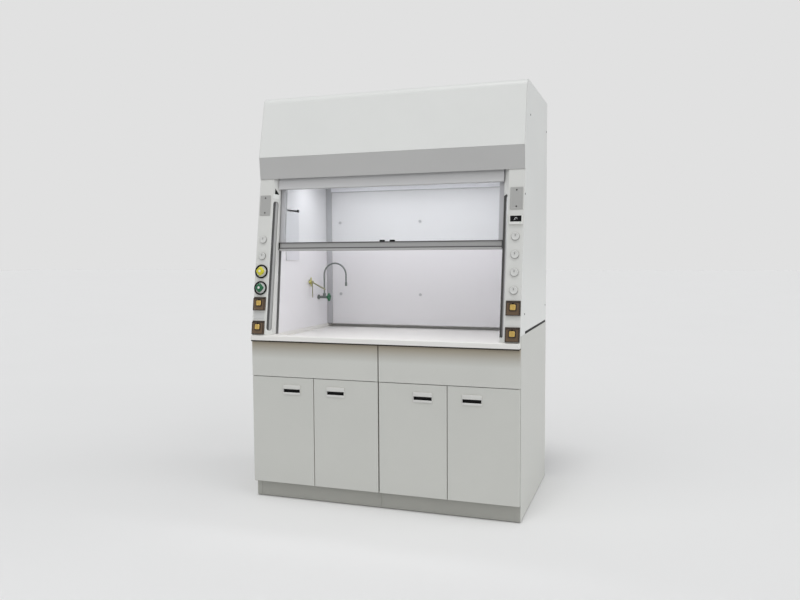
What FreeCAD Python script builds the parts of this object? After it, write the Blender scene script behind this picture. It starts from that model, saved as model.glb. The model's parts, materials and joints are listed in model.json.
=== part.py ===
import FreeCAD, Part
import math
import os

os.makedirs("parts", exist_ok=True)

# Bench-height fume hood on two base cabinets, in millimetres.
# Frame: X across the front, +Y towards the back, +Z up.
# Origin: on the floor, in the middle of the width and of the depth.

# ---- overall sizes ----
WIDTH = 1500.0
DEPTH = 915.0
HEIGHT = 2250.0               # top of the housing; the exhaust collar stands on it
WORKTOP_Z = 918.0             # raised rim of the worktop

# ---- sheet thicknesses ----
SHEET = 2.0                   # outer panels
CARCASS = 1.5                 # cabinet sheet
LINER = 6.0                   # chamber lining board

# ---- base cabinets ----
OVERHANG = 15.0               # worktop in front of the door faces
DOOR_T = 20.0
DOOR_SKIN = 1.2
DOOR_GAP = 3.0
DOOR_MARGIN = 1.0             # door edge inside the end panel's face
DOOR_BOTTOM = 95.0
DOOR_TOP = 688.0
DOOR_BACK_GAP = 6.0           # room for the hinge edge of a door to turn
DOOR_EDGE_R = 3.0
TOE_RECESS = 37.0
TOE_PLATE_SET = 3.0
CENTRE_GAP = 1.0
OUTER_FLANGE = 27.0
INNER_FLANGE = 7.0
FOOT_CLEAR = 3.0
FOOT_INSET = 70.0
FOOT_PAD_R = 22.0
FOOT_PAD_T = 8.0
FOOT_STEM_R = 6.0
SHELF_Z = 400.0
SHELF_SETBACK = 60.0
SHELF_LIP = 18.0
PIVOT_INSET = 10.0
PIN_R = 4.0
PIN_FIT = 0.05
PIN_LENGTH = 12.0
PIN_TAB_T = 2.0
PIN_TAB_GAP = 0.7

# ---- recessed door pulls ----
PULL_W = 104.0
PULL_H = 54.0
PULL_FLANGE = 2.0
PULL_CUP_D = 15.0
PULL_WALL = 1.5
PULL_SLOT_H = 18.0
PULL_HOOD = 5.0
PULL_FROM_EDGE = 129.0
PULL_DROP = 67.0
PULL_FIT = 0.3

# ---- worktop ----
DARK_BASE_T = 7.0
WORKTOP_T = 27.0
DISH_DEPTH = 20.0
RIM_FRONT = 60.0
RIM_NOSE_R = 6.0
DISH_CORNER_R = 15.0

# ---- leaning front ----
POST_LEAN = 8.64              # degrees from vertical
SASH_LEAN = 6.5
FOOT_Z = 900.0                # level where both leaning planes are measured
POST_FOOT = -4.8              # post face behind the door faces, at FOOT_Z
SASH_FOOT = 74.8              # sash face behind the door faces, at FOOT_Z
SIDE_CAVITY = 110.0           # from the chamber to the outer side
POST_FACE_W = 82.0
BEVEL_DEPTH = 30.0
POST_RETURN = 60.0
POST_TOP_BELOW = 370.0        # below HEIGHT

# ---- bevel slot and its channel ----
SLOT_START = 7.0              # along the bevel, from its front edge
SLOT_END = 38.0
SLOT_BOTTOM_Z = 945.0
SLOT_TOP_Z = 1665.0
CHANNEL_WALL = 2.0
CHANNEL_DEPTH = 18.0
CHANNEL_RAIL_W = 15.0         # raised rail along the chamber side of the channel
CHANNEL_RAIL_SET = 4.0

# ---- bonnet, band and header ----
BAND_BOTTOM_BELOW = 462.0     # these are measured down from HEIGHT
BAND_TOP_BELOW = 342.0
HEADER_BOTTOM_BELOW = 517.0
BAND_PROUD = 3.2              # band's lower edge in front of the post face
BAND_FORWARD = 11.0           # band's upper edge in front of its lower edge
BONNET_LEAN = 74.0            # how far the bonnet leans back over its height
BONNET_R = 40.0
BONNET_TOP = 120.0            # flat top of the bonnet, behind its round edge
HEADER_SET = 16.0
HEADER_RETURN = 24.0
HEADER_CLEAR = 1.0

# ---- sash ----
SASH_OVERLAP = 20.0           # sash behind the header when shut
SASH_ROOF_GAP = 31.0
SASH_STOP = 2.0               # bar above the rim when shut
SASH_LIFT = 15.0              # travel left above the rest position
STILE_W = 40.0
STILE_T = 22.0
STILE_FRONT = 3.0
STILE_SIDE_GAP = 3.0
TOP_RAIL_H = 30.0
HANDLE_H = 46.0
HANDLE_FRONT = -8.0
HANDLE_END_GAP = 3.0
GLASS_T = 5.0
GLASS_SET = 10.0
GLASS_BITE = 9.0
GLASS_FIT = 0.3
LUG_W = 20.0
LUG_T = 10.0
LUG_H = 30.0
LUG_UP = 52.0
CLIP_X = (-20.0, 37.0)
CLIP_W = 28.0
CLIP_D = 14.0
CLIP_H = 6.0
TRACK_WALL = 2.0
TRACK_DEPTH = 15.0
TRACK_CLEAR = 1.0
TRACK_SLOT_CLEAR = 3.0
TRACK_TOP_BELOW = 8.0

# ---- counterbalance ----
PULLEY_R = 55.0               # to the middle of the cable
PULLEY_RIM = 5.0
PULLEY_W = 14.0
PULLEY_BELOW = 130.0
CABLE_R = 2.0
CABLE_CLEAR = 0.4
AXLE_R = 6.0
AXLE_FIT = 0.05
BRACKET_T = 4.0
BRACKET_GAP = 3.0
BRACKET_HALF = 28.0
WEIGHT_W = 34.0
WEIGHT_D = 80.0
WEIGHT_H = 432.0
WEIGHT_BOTTOM_Z = 960.0

# ---- chamber lining ----
BAFFLE_FROM_BACK = 112.0      # front of the baffle to the outer back
BAFFLE_T = 6.0
TRIM_W = 35.0
TRIM_T = 8.0
TOP_TRIM_H = 43.0
CEILING_BELOW = 450.0
CEILING_GAP = 22.5            # behind the sash, at the ceiling
UPSTAND_GAP = 36.4            # behind the sash, at the roof
FASTENER_R = 9.0
FASTENER_T = 6.0
FASTENER_MARGIN = 104.0
FASTENER_SHIFT = -9.0
FASTENER_Z = (1110.0, 1565.0)
LINER_GAP = 0.5

# ---- light ----
LIGHT_MARGIN = 90.0           # light opening to the chamber's side
LIGHT_D = 150.0
LIGHT_H = 70.0
LIGHT_BACK = 165.0            # middle of the light, behind the upstand
LENS_T = 8.0
LENS_FIT = 1.0
TUBE_R = 13.0

# ---- access panel on the left lining ----
ACCESS_Y = (211.0, 377.0)
ACCESS_Z = (1330.0, 1614.0)
ACCESS_T = 4.0
ACCESS_SLOT_H = 10.0

# ---- exhaust collar ----
COLLAR_R = 125.0
COLLAR_WALL = 2.0
COLLAR_H = 60.0
COLLAR_FLANGE = 25.0
COLLAR_FROM_BACK = 240.0

# ---- side panels ----
SIDE_SPLIT_Z = 951.0          # top of the lower end panels
SIDE_SLOT_H = 14.0            # open strip under the upper side panels
SIDE_SLOT_Y = 141.0
SEAM = 0.5
SCREW_TOP_BELOW = 170.0       # upper side screws, below HEIGHT
SCREW_MID_Z = 1662.0
SCREW_LOW_Z = 1055.0
SCREW_UPPER_FRONT = 281.0     # these three are measured from the door faces
SCREW_MID_FRONT = 127.0
SCREW_LOW_FRONT = 122.0
SCREW_UPPER_BACK = 30.0       # these two from the back
SCREW_LOW_BACK = 40.0
SCREW_HEAD_R = 5.0
SCREW_HEAD_T = 1.5
SCREW_SHANK_R = 2.5
SCREW_SHANK = 8.0
SCREW_FIT = 0.25

# ---- fittings on the posts ----
FITTING_INSET = 40.0          # fittings' centre line, inside the outer side
PLATE_W = 70.0
PLATE_H = 114.0
PLATE_T = 3.0
PLATE_Z = 1640.0
PLATE_SCREW_PITCH = 84.0
PLATE_SCREW_R = 3.5
PLUG_R = 20.0
PLUG_T = 6.0
PLUG_STEM_R = 14.0
PLUG_STEM = 10.0
PLUG_FIT = 0.2
PLUG_Z_RIGHT = (1448.0, 1357.0, 1268.0, 1179.0)
PLUG_Z_LEFT = (1448.0, 1356.0)
MONITOR_W = 68.0
MONITOR_H = 48.0
MONITOR_T = 7.0
MONITOR_Z = 1530.0
MONITOR_BODY = 28.0
DISPLAY_W = 57.0
DISPLAY_H = 30.0
DISPLAY_T = 2.0
DISPLAY_UP = 6.0
OUTLET_Z = (1091.0, 960.0)
OUTLET_SIZE = 74.0
OUTLET_FLANGE = 2.0
OUTLET_BOX = 58.0
OUTLET_BOX_D = 34.0
COVER_D = 9.5
COVER_WALL = 2.0
COVER_GAP = 0.4
HINGE_SET = 6.5
HINGE_BARREL_R = 3.6
HINGE_PIN_R = 1.5
HINGE_HALF = 27.0
HINGE_LUG = 5.0
HINGE_FIT = 0.05
HINGE_END_GAP = 0.4
BOSS = 28.0
BOSS_T = 5.0
BOSS_UP = 7.0
VALVE_Z = (1270.0, 1178.0)
RING_R = 38.5
RING_INNER_R = 31.0
RING_T = 6.0
VALVE_STEM_R = 6.0
VALVE_STEM_IN = 30.0
VALVE_STEM_OUT = 24.0
VALVE_FIT = 0.05
HANDLE_HUB_R = 10.0
HANDLE_HUB_T = 14.0
HANDLE_ARM = 24.0
HANDLE_ARM_R = 5.0
HANDLE_KNOB_R = 6.5

# ---- fittings in the chamber, on the left lining ----
GAS_FROM_TAP = 127.0
GAS_Z = 1195.0
GAS_ROSE_R = 13.0
GAS_ROSE_T = 6.0
GAS_BODY_R = 8.0
GAS_BODY_L = 26.0
GAS_NOZZLE_R = 4.5
GAS_NOZZLE_L = 100.0
GAS_NOZZLE_DROP = 27.0        # degrees below level
GAS_DROP_L = 95.0
GAS_DROP_R = 3.0
GAS_RING_R = 12.0
GAS_RING_W = 9.0
GAS_RING_GAP = 1.0
GAS_ARM = 28.0
GAS_ARM_R = 3.5
TAP_FROM_BAFFLE = 143.0
TAP_Z = 1096.0
TAP_ROSE_R = 15.0
TAP_ROSE_T = 6.0
TAP_BODY_R = 8.5
TAP_BODY_L = 66.0
NECK_X = 42.0                 # gooseneck axis, from the lining
NECK_SOCKET_R = 10.0
NECK_SOCKET_H = 24.0
NECK_SPIGOT = 12.0
NECK_R = 5.0
NECK_FIT = 0.05
NECK_TOP_Z = 1308.0
NECK_SPAN = 148.0
NECK_TIP_Z = 1167.0
NECK_TIP_R = 7.0
NECK_TIP_L = 22.0
TAP_STEM_R = 4.0
TAP_STEM_IN = 9.0
TAP_STEM_OUT = 2.0
TAP_ARM = 24.0
TAP_ARM_R = 7.0

# ---- worked-out planes and levels ----
V = FreeCAD.Vector
HALF = WIDTH / 2
INNER_HALF = HALF - SIDE_CAVITY          # half width of the chamber
FITTING_X = HALF - FITTING_INSET
LIGHT_W = 2 * (INNER_HALF - LIGHT_MARGIN)
BACK = DEPTH / 2
FRONT = -DEPTH / 2 + OVERHANG            # plane of the door faces
INSIDE = HALF - SHEET                    # inner face of the outer side panels
BACK_INSIDE = BACK - SHEET
SLAB_BOTTOM = WORKTOP_Z - WORKTOP_T
CABINET_TOP = SLAB_BOTTOM - DARK_BASE_T
CARCASS_FRONT = FRONT + DOOR_T + DOOR_BACK_GAP
TOE_FRONT = FRONT + TOE_RECESS
DISH_Z = WORKTOP_Z - DISH_DEPTH
BAND_BOTTOM = HEIGHT - BAND_BOTTOM_BELOW
BAND_TOP = HEIGHT - BAND_TOP_BELOW
HEADER_BOTTOM = HEIGHT - HEADER_BOTTOM_BELOW
POST_TOP = HEIGHT - POST_TOP_BELOW
CEILING_Z = HEIGHT - CEILING_BELOW
BAFFLE_Y = BACK - BAFFLE_FROM_BACK
ROOF_UNDER = HEIGHT - SHEET
COLLAR_Y = BACK - COLLAR_FROM_BACK
TAP_Y = BAFFLE_Y - TAP_FROM_BAFFLE
GAS_Y = TAP_Y - GAS_FROM_TAP
SIDE_SCREWS = ((FRONT + SCREW_UPPER_FRONT, HEIGHT - SCREW_TOP_BELOW),
               (BACK - SCREW_UPPER_BACK, HEIGHT - SCREW_TOP_BELOW),
               (FRONT + SCREW_MID_FRONT, SCREW_MID_Z), (FRONT + SCREW_LOW_FRONT, SCREW_LOW_Z),
               (BACK - SCREW_LOW_BACK, SCREW_LOW_Z))
FASTENER_X = [FASTENER_SHIFT + side * (INNER_HALF - FASTENER_MARGIN) for side in (-1, 0, 1)]
POST_COS = math.cos(math.radians(POST_LEAN))
SASH_COS = math.cos(math.radians(SASH_LEAN))
SASH_SIN = math.sin(math.radians(SASH_LEAN))
SASH_SPAN = (HEADER_BOTTOM + SASH_OVERLAP - WORKTOP_Z - SASH_STOP) / SASH_COS
SASH_BOTTOM_Z = HEIGHT - SASH_ROOF_GAP - SASH_SPAN * SASH_COS
SASH_W = (SASH_BOTTOM_Z - FOOT_Z) / SASH_COS
LUG_X = INNER_HALF + TRACK_DEPTH + TRACK_WALL + LUG_W / 2
CABLE_X = LUG_X
CABLE_SET = STILE_FRONT + STILE_T / 2
SASH_BACK = STILE_FRONT + STILE_T
SASH_TRAVEL = (SASH_BOTTOM_Z - SASH_BACK * SASH_SIN - WORKTOP_Z - SASH_STOP) / SASH_COS


def box(x0, x1, y0, y1, z0, z1):
    return Part.makeBox(x1 - x0, y1 - y0, z1 - z0, V(x0, y0, z0))


def rod(radius, start, axis, length):
    return Part.makeCylinder(radius, length, V(*start), V(*axis))


def prism_x(points, x0, x1):
    """Closed outline of (y, z) points, pulled along X."""
    corners = [V(x0, y, z) for y, z in points]
    wire = Part.makePolygon(corners + corners[:1])
    return Part.Face(wire).extrude(V(x1 - x0, 0, 0))


def prism_z(points, z0, z1):
    """Closed outline of (x, y) points, pulled along Z."""
    corners = [V(x, y, z0) for x, y in points]
    wire = Part.makePolygon(corners + corners[:1])
    return Part.Face(wire).extrude(V(0, 0, z1 - z0))


def fuse(shapes):
    result = shapes[0]
    for shape in shapes[1:]:
        result = result.fuse(shape)
    return result.removeSplitter()


def cut(shape, tools):
    for tool in tools:
        shape = shape.cut(tool)
    return shape


def mirrored(shape):
    return shape.mirror(V(0, 0, 0), V(1, 0, 0))


def pair(shape):
    return [shape, mirrored(shape)]


def lean(shape, foot, angle):
    """Turn a shape built upright at FOOT_Z back onto a leaning plane."""
    turned = shape.copy()
    turned.rotate(V(0, FRONT + foot, FOOT_Z), V(1, 0, 0), -angle)
    return turned


def on_post(shape):
    return lean(shape, POST_FOOT, POST_LEAN)


def on_sash(shape):
    return lean(shape, SASH_FOOT, SASH_LEAN)


def post_w(z):
    """Distance up the post face to level z."""
    return (z - FOOT_Z) / POST_COS


def post_y(z):
    return FRONT + POST_FOOT + (z - FOOT_Z) * math.tan(math.radians(POST_LEAN))


def sash_y(z, depth=0.0):
    return FRONT + SASH_FOOT + (z - FOOT_Z) * math.tan(math.radians(SASH_LEAN)) + depth / SASH_COS


def post_box(x0, x1, n0, n1, w0, w1):
    """Box in the post's own frame: n is depth behind the face, w runs up it."""
    y = FRONT + POST_FOOT
    return on_post(box(x0, x1, y + n0, y + n1, FOOT_Z + w0, FOOT_Z + w1))


def post_rod(radius, x, w, n0, n1):
    y = FRONT + POST_FOOT
    return on_post(rod(radius, (x, y + n0, FOOT_Z + w), (0, 1, 0), n1 - n0))


def sash_box(x0, x1, n0, n1, w0, w1):
    y = FRONT + SASH_FOOT
    return on_sash(box(x0, x1, y + n0, y + n1, FOOT_Z + w0, FOOT_Z + w1))


def edges_along_z(shape, low, high, tolerance=0.01):
    """Straight vertical edges whose middle lies in the box low to high."""
    found = []
    for edge in shape.Edges:
        ends = edge.BoundBox
        middle = edge.CenterOfMass
        upright = ends.XLength < tolerance and ends.YLength < tolerance
        inside = all(a <= b <= c for a, b, c in zip(low, middle, high))
        if upright and inside:
            found.append(edge)
    return found


def save(name, shapes):
    solids = []
    for shape in shapes:
        solids.extend(shape.Solids)
    whole = solids[0] if len(solids) == 1 else Part.makeCompound(solids)
    whole.exportStep("parts/" + name + ".step")


# ---------------------------------------------------------------- base cabinets

def hinge_pins(x):
    """Top and bottom pivot pins of one door, on tabs held by the carcass."""
    y = FRONT + DOOR_T / 2
    tab_back = CARCASS_FRONT + CARCASS
    low = DOOR_BOTTOM - PIN_TAB_GAP - PIN_TAB_T
    high = DOOR_TOP + PIN_TAB_GAP
    pieces = []
    for tab_z, pin_z in ((low, low + PIN_TAB_T), (high, high - PIN_LENGTH)):
        tab = box(x - PIVOT_INSET + DOOR_EDGE_R, x + PIVOT_INSET - DOOR_EDGE_R,
                  y - PIN_R - 1, tab_back, tab_z, tab_z + PIN_TAB_T)
        pieces.append(tab)
        pieces.append(rod(PIN_R, (x, y, pin_z), (0, 0, 1), PIN_LENGTH))
    return pieces


def cabinet():
    """Right-hand carcass: open front, folded front edges, set-back toe space."""
    x0 = CENTRE_GAP / 2
    x1 = INSIDE
    t = CARCASS
    front = CARCASS_FRONT
    floor = DOOR_BOTTOM - PIN_TAB_GAP
    rail = DOOR_TOP + PIN_TAB_GAP
    pieces = [
        box(x0, x0 + t, front, BACK_INSIDE, floor, CABINET_TOP),
        box(x1 - t, x1, front, BACK_INSIDE, floor, CABINET_TOP),
        box(x0, x1, BACK_INSIDE - t, BACK_INSIDE, FOOT_CLEAR, CABINET_TOP),
        box(x0, x1, front, BACK_INSIDE, floor, floor + t),
        box(x0, x1, front, front + t, rail, CABINET_TOP),
        box(x0, x1, front, front + OUTER_FLANGE, rail, rail + t),
        box(x0, x0 + INNER_FLANGE, front, front + t, floor, CABINET_TOP),
        box(x1 - OUTER_FLANGE, x1, front, front + t, floor, CABINET_TOP),
        box(x0, x0 + t, TOE_FRONT, BACK_INSIDE, FOOT_CLEAR, floor),
        box(x1 - t, x1, TOE_FRONT, BACK_INSIDE, FOOT_CLEAR, floor),
        box(x0, x0 + INNER_FLANGE, TOE_FRONT, TOE_FRONT + t, FOOT_CLEAR, floor + t),
        box(x1 - OUTER_FLANGE, x1, TOE_FRONT, TOE_FRONT + t, FOOT_CLEAR, floor + t),
        box(x0, x1, TOE_FRONT + t, TOE_FRONT + TOE_PLATE_SET + t, FOOT_CLEAR, floor + t),
    ]
    pieces += hinge_pins(DOOR_GAP + PIVOT_INSET)
    pieces += hinge_pins(HALF - DOOR_MARGIN - PIVOT_INSET)
    return fuse(pieces)


def shelf():
    x0 = CENTRE_GAP / 2 + CARCASS
    x1 = INSIDE - CARCASS
    y0 = CARCASS_FRONT + SHELF_SETBACK
    plate = box(x0, x1, y0, BACK_INSIDE - CARCASS, SHELF_Z - CARCASS, SHELF_Z)
    lip = box(x0, x1, y0, y0 + CARCASS, SHELF_Z - SHELF_LIP, SHELF_Z)
    return fuse([plate, lip])


def foot(x, y):
    pad = rod(FOOT_PAD_R, (x, y, 0), (0, 0, 1), FOOT_PAD_T)
    stem = rod(FOOT_STEM_R, (x, y, FOOT_PAD_T), (0, 0, 1), DOOR_BOTTOM - PIN_TAB_GAP - FOOT_PAD_T)
    return fuse([pad, stem])


def feet():
    inner = CENTRE_GAP / 2 + FOOT_INSET
    outer = INSIDE - FOOT_INSET
    rows = (TOE_FRONT + FOOT_INSET, BACK_INSIDE - FOOT_INSET)
    return [foot(side * x, y) for side in (-1, 1) for x in (inner, outer) for y in rows]


def upper_front_panel():
    """Fixed fascia above the doors: a pan with its open side to the carcass."""
    x0 = DOOR_GAP
    x1 = HALF - DOOR_MARGIN
    z0 = DOOR_TOP + PIN_TAB_GAP + PIN_TAB_T + PIN_TAB_GAP
    outer = box(x0, x1, FRONT, CARCASS_FRONT, z0, CABINET_TOP)
    hollow = box(x0 + DOOR_SKIN, x1 - DOOR_SKIN, FRONT + DOOR_SKIN, CARCASS_FRONT,
                 z0 + DOOR_SKIN, CABINET_TOP - DOOR_SKIN)
    return outer.cut(hollow)


DOORS = []                    # left edge, right edge, pivot, pull centre
door_split = (DOOR_GAP + HALF - DOOR_MARGIN) / 2
for left, right, hinged_right in ((-(HALF - DOOR_MARGIN), -door_split - DOOR_GAP / 2, False),
                                  (-door_split + DOOR_GAP / 2, -DOOR_GAP, True),
                                  (DOOR_GAP, door_split - DOOR_GAP / 2, False),
                                  (door_split + DOOR_GAP / 2, HALF - DOOR_MARGIN, True)):
    pivot = right - PIVOT_INSET if hinged_right else left + PIVOT_INSET
    pull_x = left + PULL_FROM_EDGE if hinged_right else right - PULL_FROM_EDGE
    DOORS.append((left, right, pivot, pull_x))
PULL_Z = DOOR_TOP - PULL_DROP


def door(left, right, pivot, pull_x):
    """Double-skin door with pivot bores and a window for its pull."""
    outer = box(left, right, FRONT, FRONT + DOOR_T, DOOR_BOTTOM, DOOR_TOP)
    outer = outer.makeFillet(DOOR_EDGE_R, edges_along_z(outer, (left - 1, FRONT - 1, DOOR_BOTTOM),
                                                        (right + 1, FRONT + DOOR_T + 1, DOOR_TOP)))
    s = DOOR_SKIN
    hollow = box(left + s, right - s, FRONT + s, FRONT + DOOR_T - s, DOOR_BOTTOM + s, DOOR_TOP - s)
    hollow = hollow.makeFillet(DOOR_EDGE_R - s, edges_along_z(hollow, (left, FRONT, DOOR_BOTTOM),
                                                              (right, FRONT + DOOR_T, DOOR_TOP)))
    cup_w = PULL_W / 2 - PULL_FLANGE + PULL_FIT
    cup_h = PULL_H / 2 - PULL_FLANGE + PULL_FIT
    y = FRONT + DOOR_T / 2
    bore = rod(PIN_R + PIN_FIT, (pivot, y, DOOR_BOTTOM - 1), (0, 0, 1), DOOR_TOP - DOOR_BOTTOM + 2)
    window = box(pull_x - cup_w, pull_x + cup_w, FRONT - 1, FRONT + s + 1,
                 PULL_Z - cup_h, PULL_Z + cup_h)
    return cut(outer, [hollow, bore, window])


def door_pull(x):
    """Recessed pull: flange, hollow cup, and a hood that stands over the finger slot."""
    half_w = PULL_W / 2
    half_h = PULL_H / 2
    edge = PULL_FLANGE
    slot_low = PULL_Z - half_h + 2 * edge + PULL_SLOT_H / 2
    slot_top = slot_low + PULL_SLOT_H
    flange = box(x - half_w, x + half_w, FRONT - PULL_FLANGE, FRONT, PULL_Z - half_h, PULL_Z + half_h)
    cup = box(x - half_w + edge, x + half_w - edge, FRONT, FRONT + PULL_CUP_D,
              PULL_Z - half_h + edge, PULL_Z + half_h - edge)
    y = FRONT - PULL_FLANGE
    hood = prism_x([(y, PULL_Z + half_h), (y - PULL_HOOD, slot_top + edge), (y - PULL_HOOD, slot_top),
                    (y, slot_top)], x - half_w + edge, x + half_w - edge)
    inner = half_w - edge - PULL_WALL
    cavity = box(x - inner, x + inner, FRONT + PULL_WALL, FRONT + PULL_CUP_D - PULL_WALL,
                 PULL_Z - half_h + edge + PULL_WALL, PULL_Z + half_h - edge - PULL_WALL)
    slot = box(x - inner, x + inner, y - PULL_HOOD - 1, FRONT + PULL_WALL + 1, slot_low, slot_top)
    return cut(fuse([flange, cup, hood]), [cavity, slot])


def end_panel():
    """Lower end panel, from the floor to above the worktop, cut back over the toe space."""
    floor = DOOR_BOTTOM - PIN_TAB_GAP
    outline = [(CARCASS_FRONT, floor), (CARCASS_FRONT, SIDE_SPLIT_Z), (BACK, SIDE_SPLIT_Z),
               (BACK, FOOT_CLEAR), (TOE_FRONT, FOOT_CLEAR), (TOE_FRONT, floor)]
    return prism_x(outline, INSIDE, HALF)


save("base_cabinet_right", [cabinet()])
save("base_cabinet_left", [mirrored(cabinet())])
save("cabinet_shelves", pair(shelf()))
save("levelling_feet", feet())
save("upper_front_panels", pair(upper_front_panel()))
save("end_panels", pair(end_panel()))
for number, (left, right, pivot, pull_x) in enumerate(DOORS, start=1):
    save("door_" + str(number), [door(left, right, pivot, pull_x)])
    save("door_pull_" + str(number), [door_pull(pull_x)])

# ---------------------------------------------------------------------- worktop

def worktop():
    """Slab with a rounded front nose and a raised rim round the dished floor."""
    y0 = -DEPTH / 2
    slab = box(-INSIDE, INSIDE, y0, BACK_INSIDE, SLAB_BOTTOM, WORKTOP_Z)
    nose = [e for e in slab.Edges if e.BoundBox.YMax < y0 + 0.01 and e.BoundBox.ZMin > WORKTOP_Z - 0.01]
    slab = slab.makeFillet(RIM_NOSE_R, nose)
    x = INNER_HALF - STILE_SIDE_GAP * 2
    dish = box(-x, x, y0 + RIM_FRONT, BAFFLE_Y - TRIM_T, DISH_Z, WORKTOP_Z + 1)
    dish = dish.makeFillet(DISH_CORNER_R, edges_along_z(dish, (-HALF, y0, DISH_Z), (HALF, BACK, HEIGHT)))
    slot = box(-x, x, BAFFLE_Y - 2 * TRIM_T, BAFFLE_Y + BAFFLE_T + TRIM_W, DISH_Z, WORKTOP_Z + 1)
    return cut(slab, [dish, slot])


save("worktop", [worktop()])
save("worktop_base", [box(-INSIDE, INSIDE, -DEPTH / 2 + 2, BACK_INSIDE, CABINET_TOP, SLAB_BOTTOM)])

# ------------------------------------------------------------------------ posts

FACE_EDGE = HALF - POST_FACE_W                      # where the face folds into the bevel
BEVEL = math.hypot(FACE_EDGE - INNER_HALF, BEVEL_DEPTH)
ALONG = ((INNER_HALF - FACE_EDGE) / BEVEL, BEVEL_DEPTH / BEVEL)
INTO = (ALONG[1], -ALONG[0])


def bevel_point(s, n):
    """Plan point s along the bevel and n behind it, in the post's frame."""
    x = FACE_EDGE + s * ALONG[0] + n * INTO[0]
    depth = s * ALONG[1] + n * INTO[1]
    return (x, FRONT + POST_FOOT + depth)


def post_prism(points, w0, w1):
    return on_post(prism_z(points, FOOT_Z + w0, FOOT_Z + w1))


def below_rim(shape):
    """Remove what reaches under the worktop's rim."""
    return shape.cut(box(-HALF, HALF, -DEPTH, DEPTH, -HEIGHT, WORKTOP_Z))


def slot_end(s, w):
    """Round end of the bevel slot: a short rod through the bevel."""
    half = (SLOT_END - SLOT_START) / 2
    x, y = bevel_point(s, -2 * SHEET)
    return on_post(rod(half, (x, y, FOOT_Z + w), (INTO[0], INTO[1], 0), 4 * SHEET))


def post():
    """Right-hand post: return, face, bevel and chamber jamb folded from one sheet."""
    y = FRONT + POST_FOOT
    t = SHEET
    deep = BEVEL_DEPTH + SASH_FOOT - POST_FOOT
    jamb_fold = BEVEL_DEPTH + t * (1 - INTO[0]) / INTO[1]
    face_fold = FACE_EDGE + t * (1 - INTO[1]) / INTO[0]
    outline = [(INSIDE, y + POST_RETURN), (INSIDE, y), (FACE_EDGE, y), bevel_point(BEVEL, 0),
               (INNER_HALF, y + deep), (INNER_HALF + t, y + deep), (INNER_HALF + t, y + jamb_fold),
               (face_fold, y + t), (INSIDE - t, y + t), (INSIDE - t, y + POST_RETURN)]
    sheet = post_prism(outline, -TOE_RECESS, post_w(POST_TOP))
    behind = sash_box(INNER_HALF - 1, HALF, -TRACK_WALL - SEAM, DEPTH, -HEIGHT, HEIGHT)
    middle = (SLOT_START + SLOT_END) / 2
    half = (SLOT_END - SLOT_START) / 2
    slot = post_prism([bevel_point(SLOT_START, -t), bevel_point(SLOT_END, -t),
                       bevel_point(SLOT_END, 2 * t), bevel_point(SLOT_START, 2 * t)],
                      post_w(SLOT_BOTTOM_Z) + half, post_w(SLOT_TOP_Z) - half)
    ends = [slot_end(middle, post_w(SLOT_BOTTOM_Z) + half), slot_end(middle, post_w(SLOT_TOP_Z) - half)]
    top = box(0, HALF, -DEPTH, DEPTH, POST_TOP, HEIGHT * 2)
    return below_rim(cut(sheet, [behind, slot, top] + ends))


def jamb_channel():
    """Aluminium channel behind the bevel slot, shut at both ends, with a rail raised along it."""
    low = SLOT_START - CHANNEL_WALL
    high = SLOT_END + CHANNEL_WALL
    deep = SHEET + CHANNEL_DEPTH
    outer = post_prism([bevel_point(low, SHEET), bevel_point(high, SHEET), bevel_point(high, deep),
                        bevel_point(low, deep)], post_w(SLOT_BOTTOM_Z), post_w(SLOT_TOP_Z))
    inner_deep = deep - CHANNEL_WALL
    rail = SLOT_END - CHANNEL_RAIL_W
    hollow = post_prism([bevel_point(SLOT_START, SHEET), bevel_point(SLOT_END, SHEET),
                         bevel_point(SLOT_END, SHEET + CHANNEL_RAIL_SET),
                         bevel_point(rail, SHEET + CHANNEL_RAIL_SET),
                         bevel_point(rail, inner_deep), bevel_point(SLOT_START, inner_deep)],
                        post_w(SLOT_BOTTOM_Z) + CHANNEL_WALL, post_w(SLOT_TOP_Z) - CHANNEL_WALL)
    return outer.cut(hollow)


def sash_track():
    """Channel that a sash stile runs in, with a slot in its web for the cable lug."""
    x0 = INNER_HALF
    x1 = INNER_HALF + TRACK_DEPTH
    back = STILE_FRONT + STILE_T + TRACK_CLEAR
    front = STILE_FRONT - TRACK_CLEAR
    w0 = -TOE_RECESS
    w1 = (HEIGHT - TRACK_TOP_BELOW - FOOT_Z) / SASH_COS
    outer = sash_box(x0, x1 + TRACK_WALL, front - TRACK_WALL, back + TRACK_WALL, w0, w1)
    hollow = sash_box(x0 - 1, x1, front, back, w0 - 1, w1 + 1)
    low = SASH_W + LUG_UP - SASH_TRAVEL - TRACK_SLOT_CLEAR
    high = SASH_W + LUG_UP + LUG_H + SASH_LIFT + TRACK_SLOT_CLEAR
    middle = STILE_FRONT + STILE_T / 2
    half = LUG_T / 2 + TRACK_SLOT_CLEAR
    slot = sash_box(x1 - 1, x1 + TRACK_WALL + 1, middle - half, middle + half, low, high)
    roof = box(0, HALF, -DEPTH, DEPTH, HEIGHT - TRACK_TOP_BELOW, HEIGHT * 2)
    return below_rim(cut(outer, [hollow, slot, roof]))


# ------------------------------------------------------- fittings on the posts

def post_hole(x, z, half_w, half_h):
    w = post_w(z)
    return post_box(x - half_w, x + half_w, -2 * SHEET, 2 * SHEET, w - half_h, w + half_h)


def post_bore(x, z, radius):
    return post_rod(radius, x, post_w(z), -2 * SHEET, 2 * SHEET)


def outlet_holes(side):
    half = OUTLET_BOX / 2 + PLUG_FIT
    return [post_hole(side * FITTING_X, z, half, half) for z in OUTLET_Z]


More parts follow.
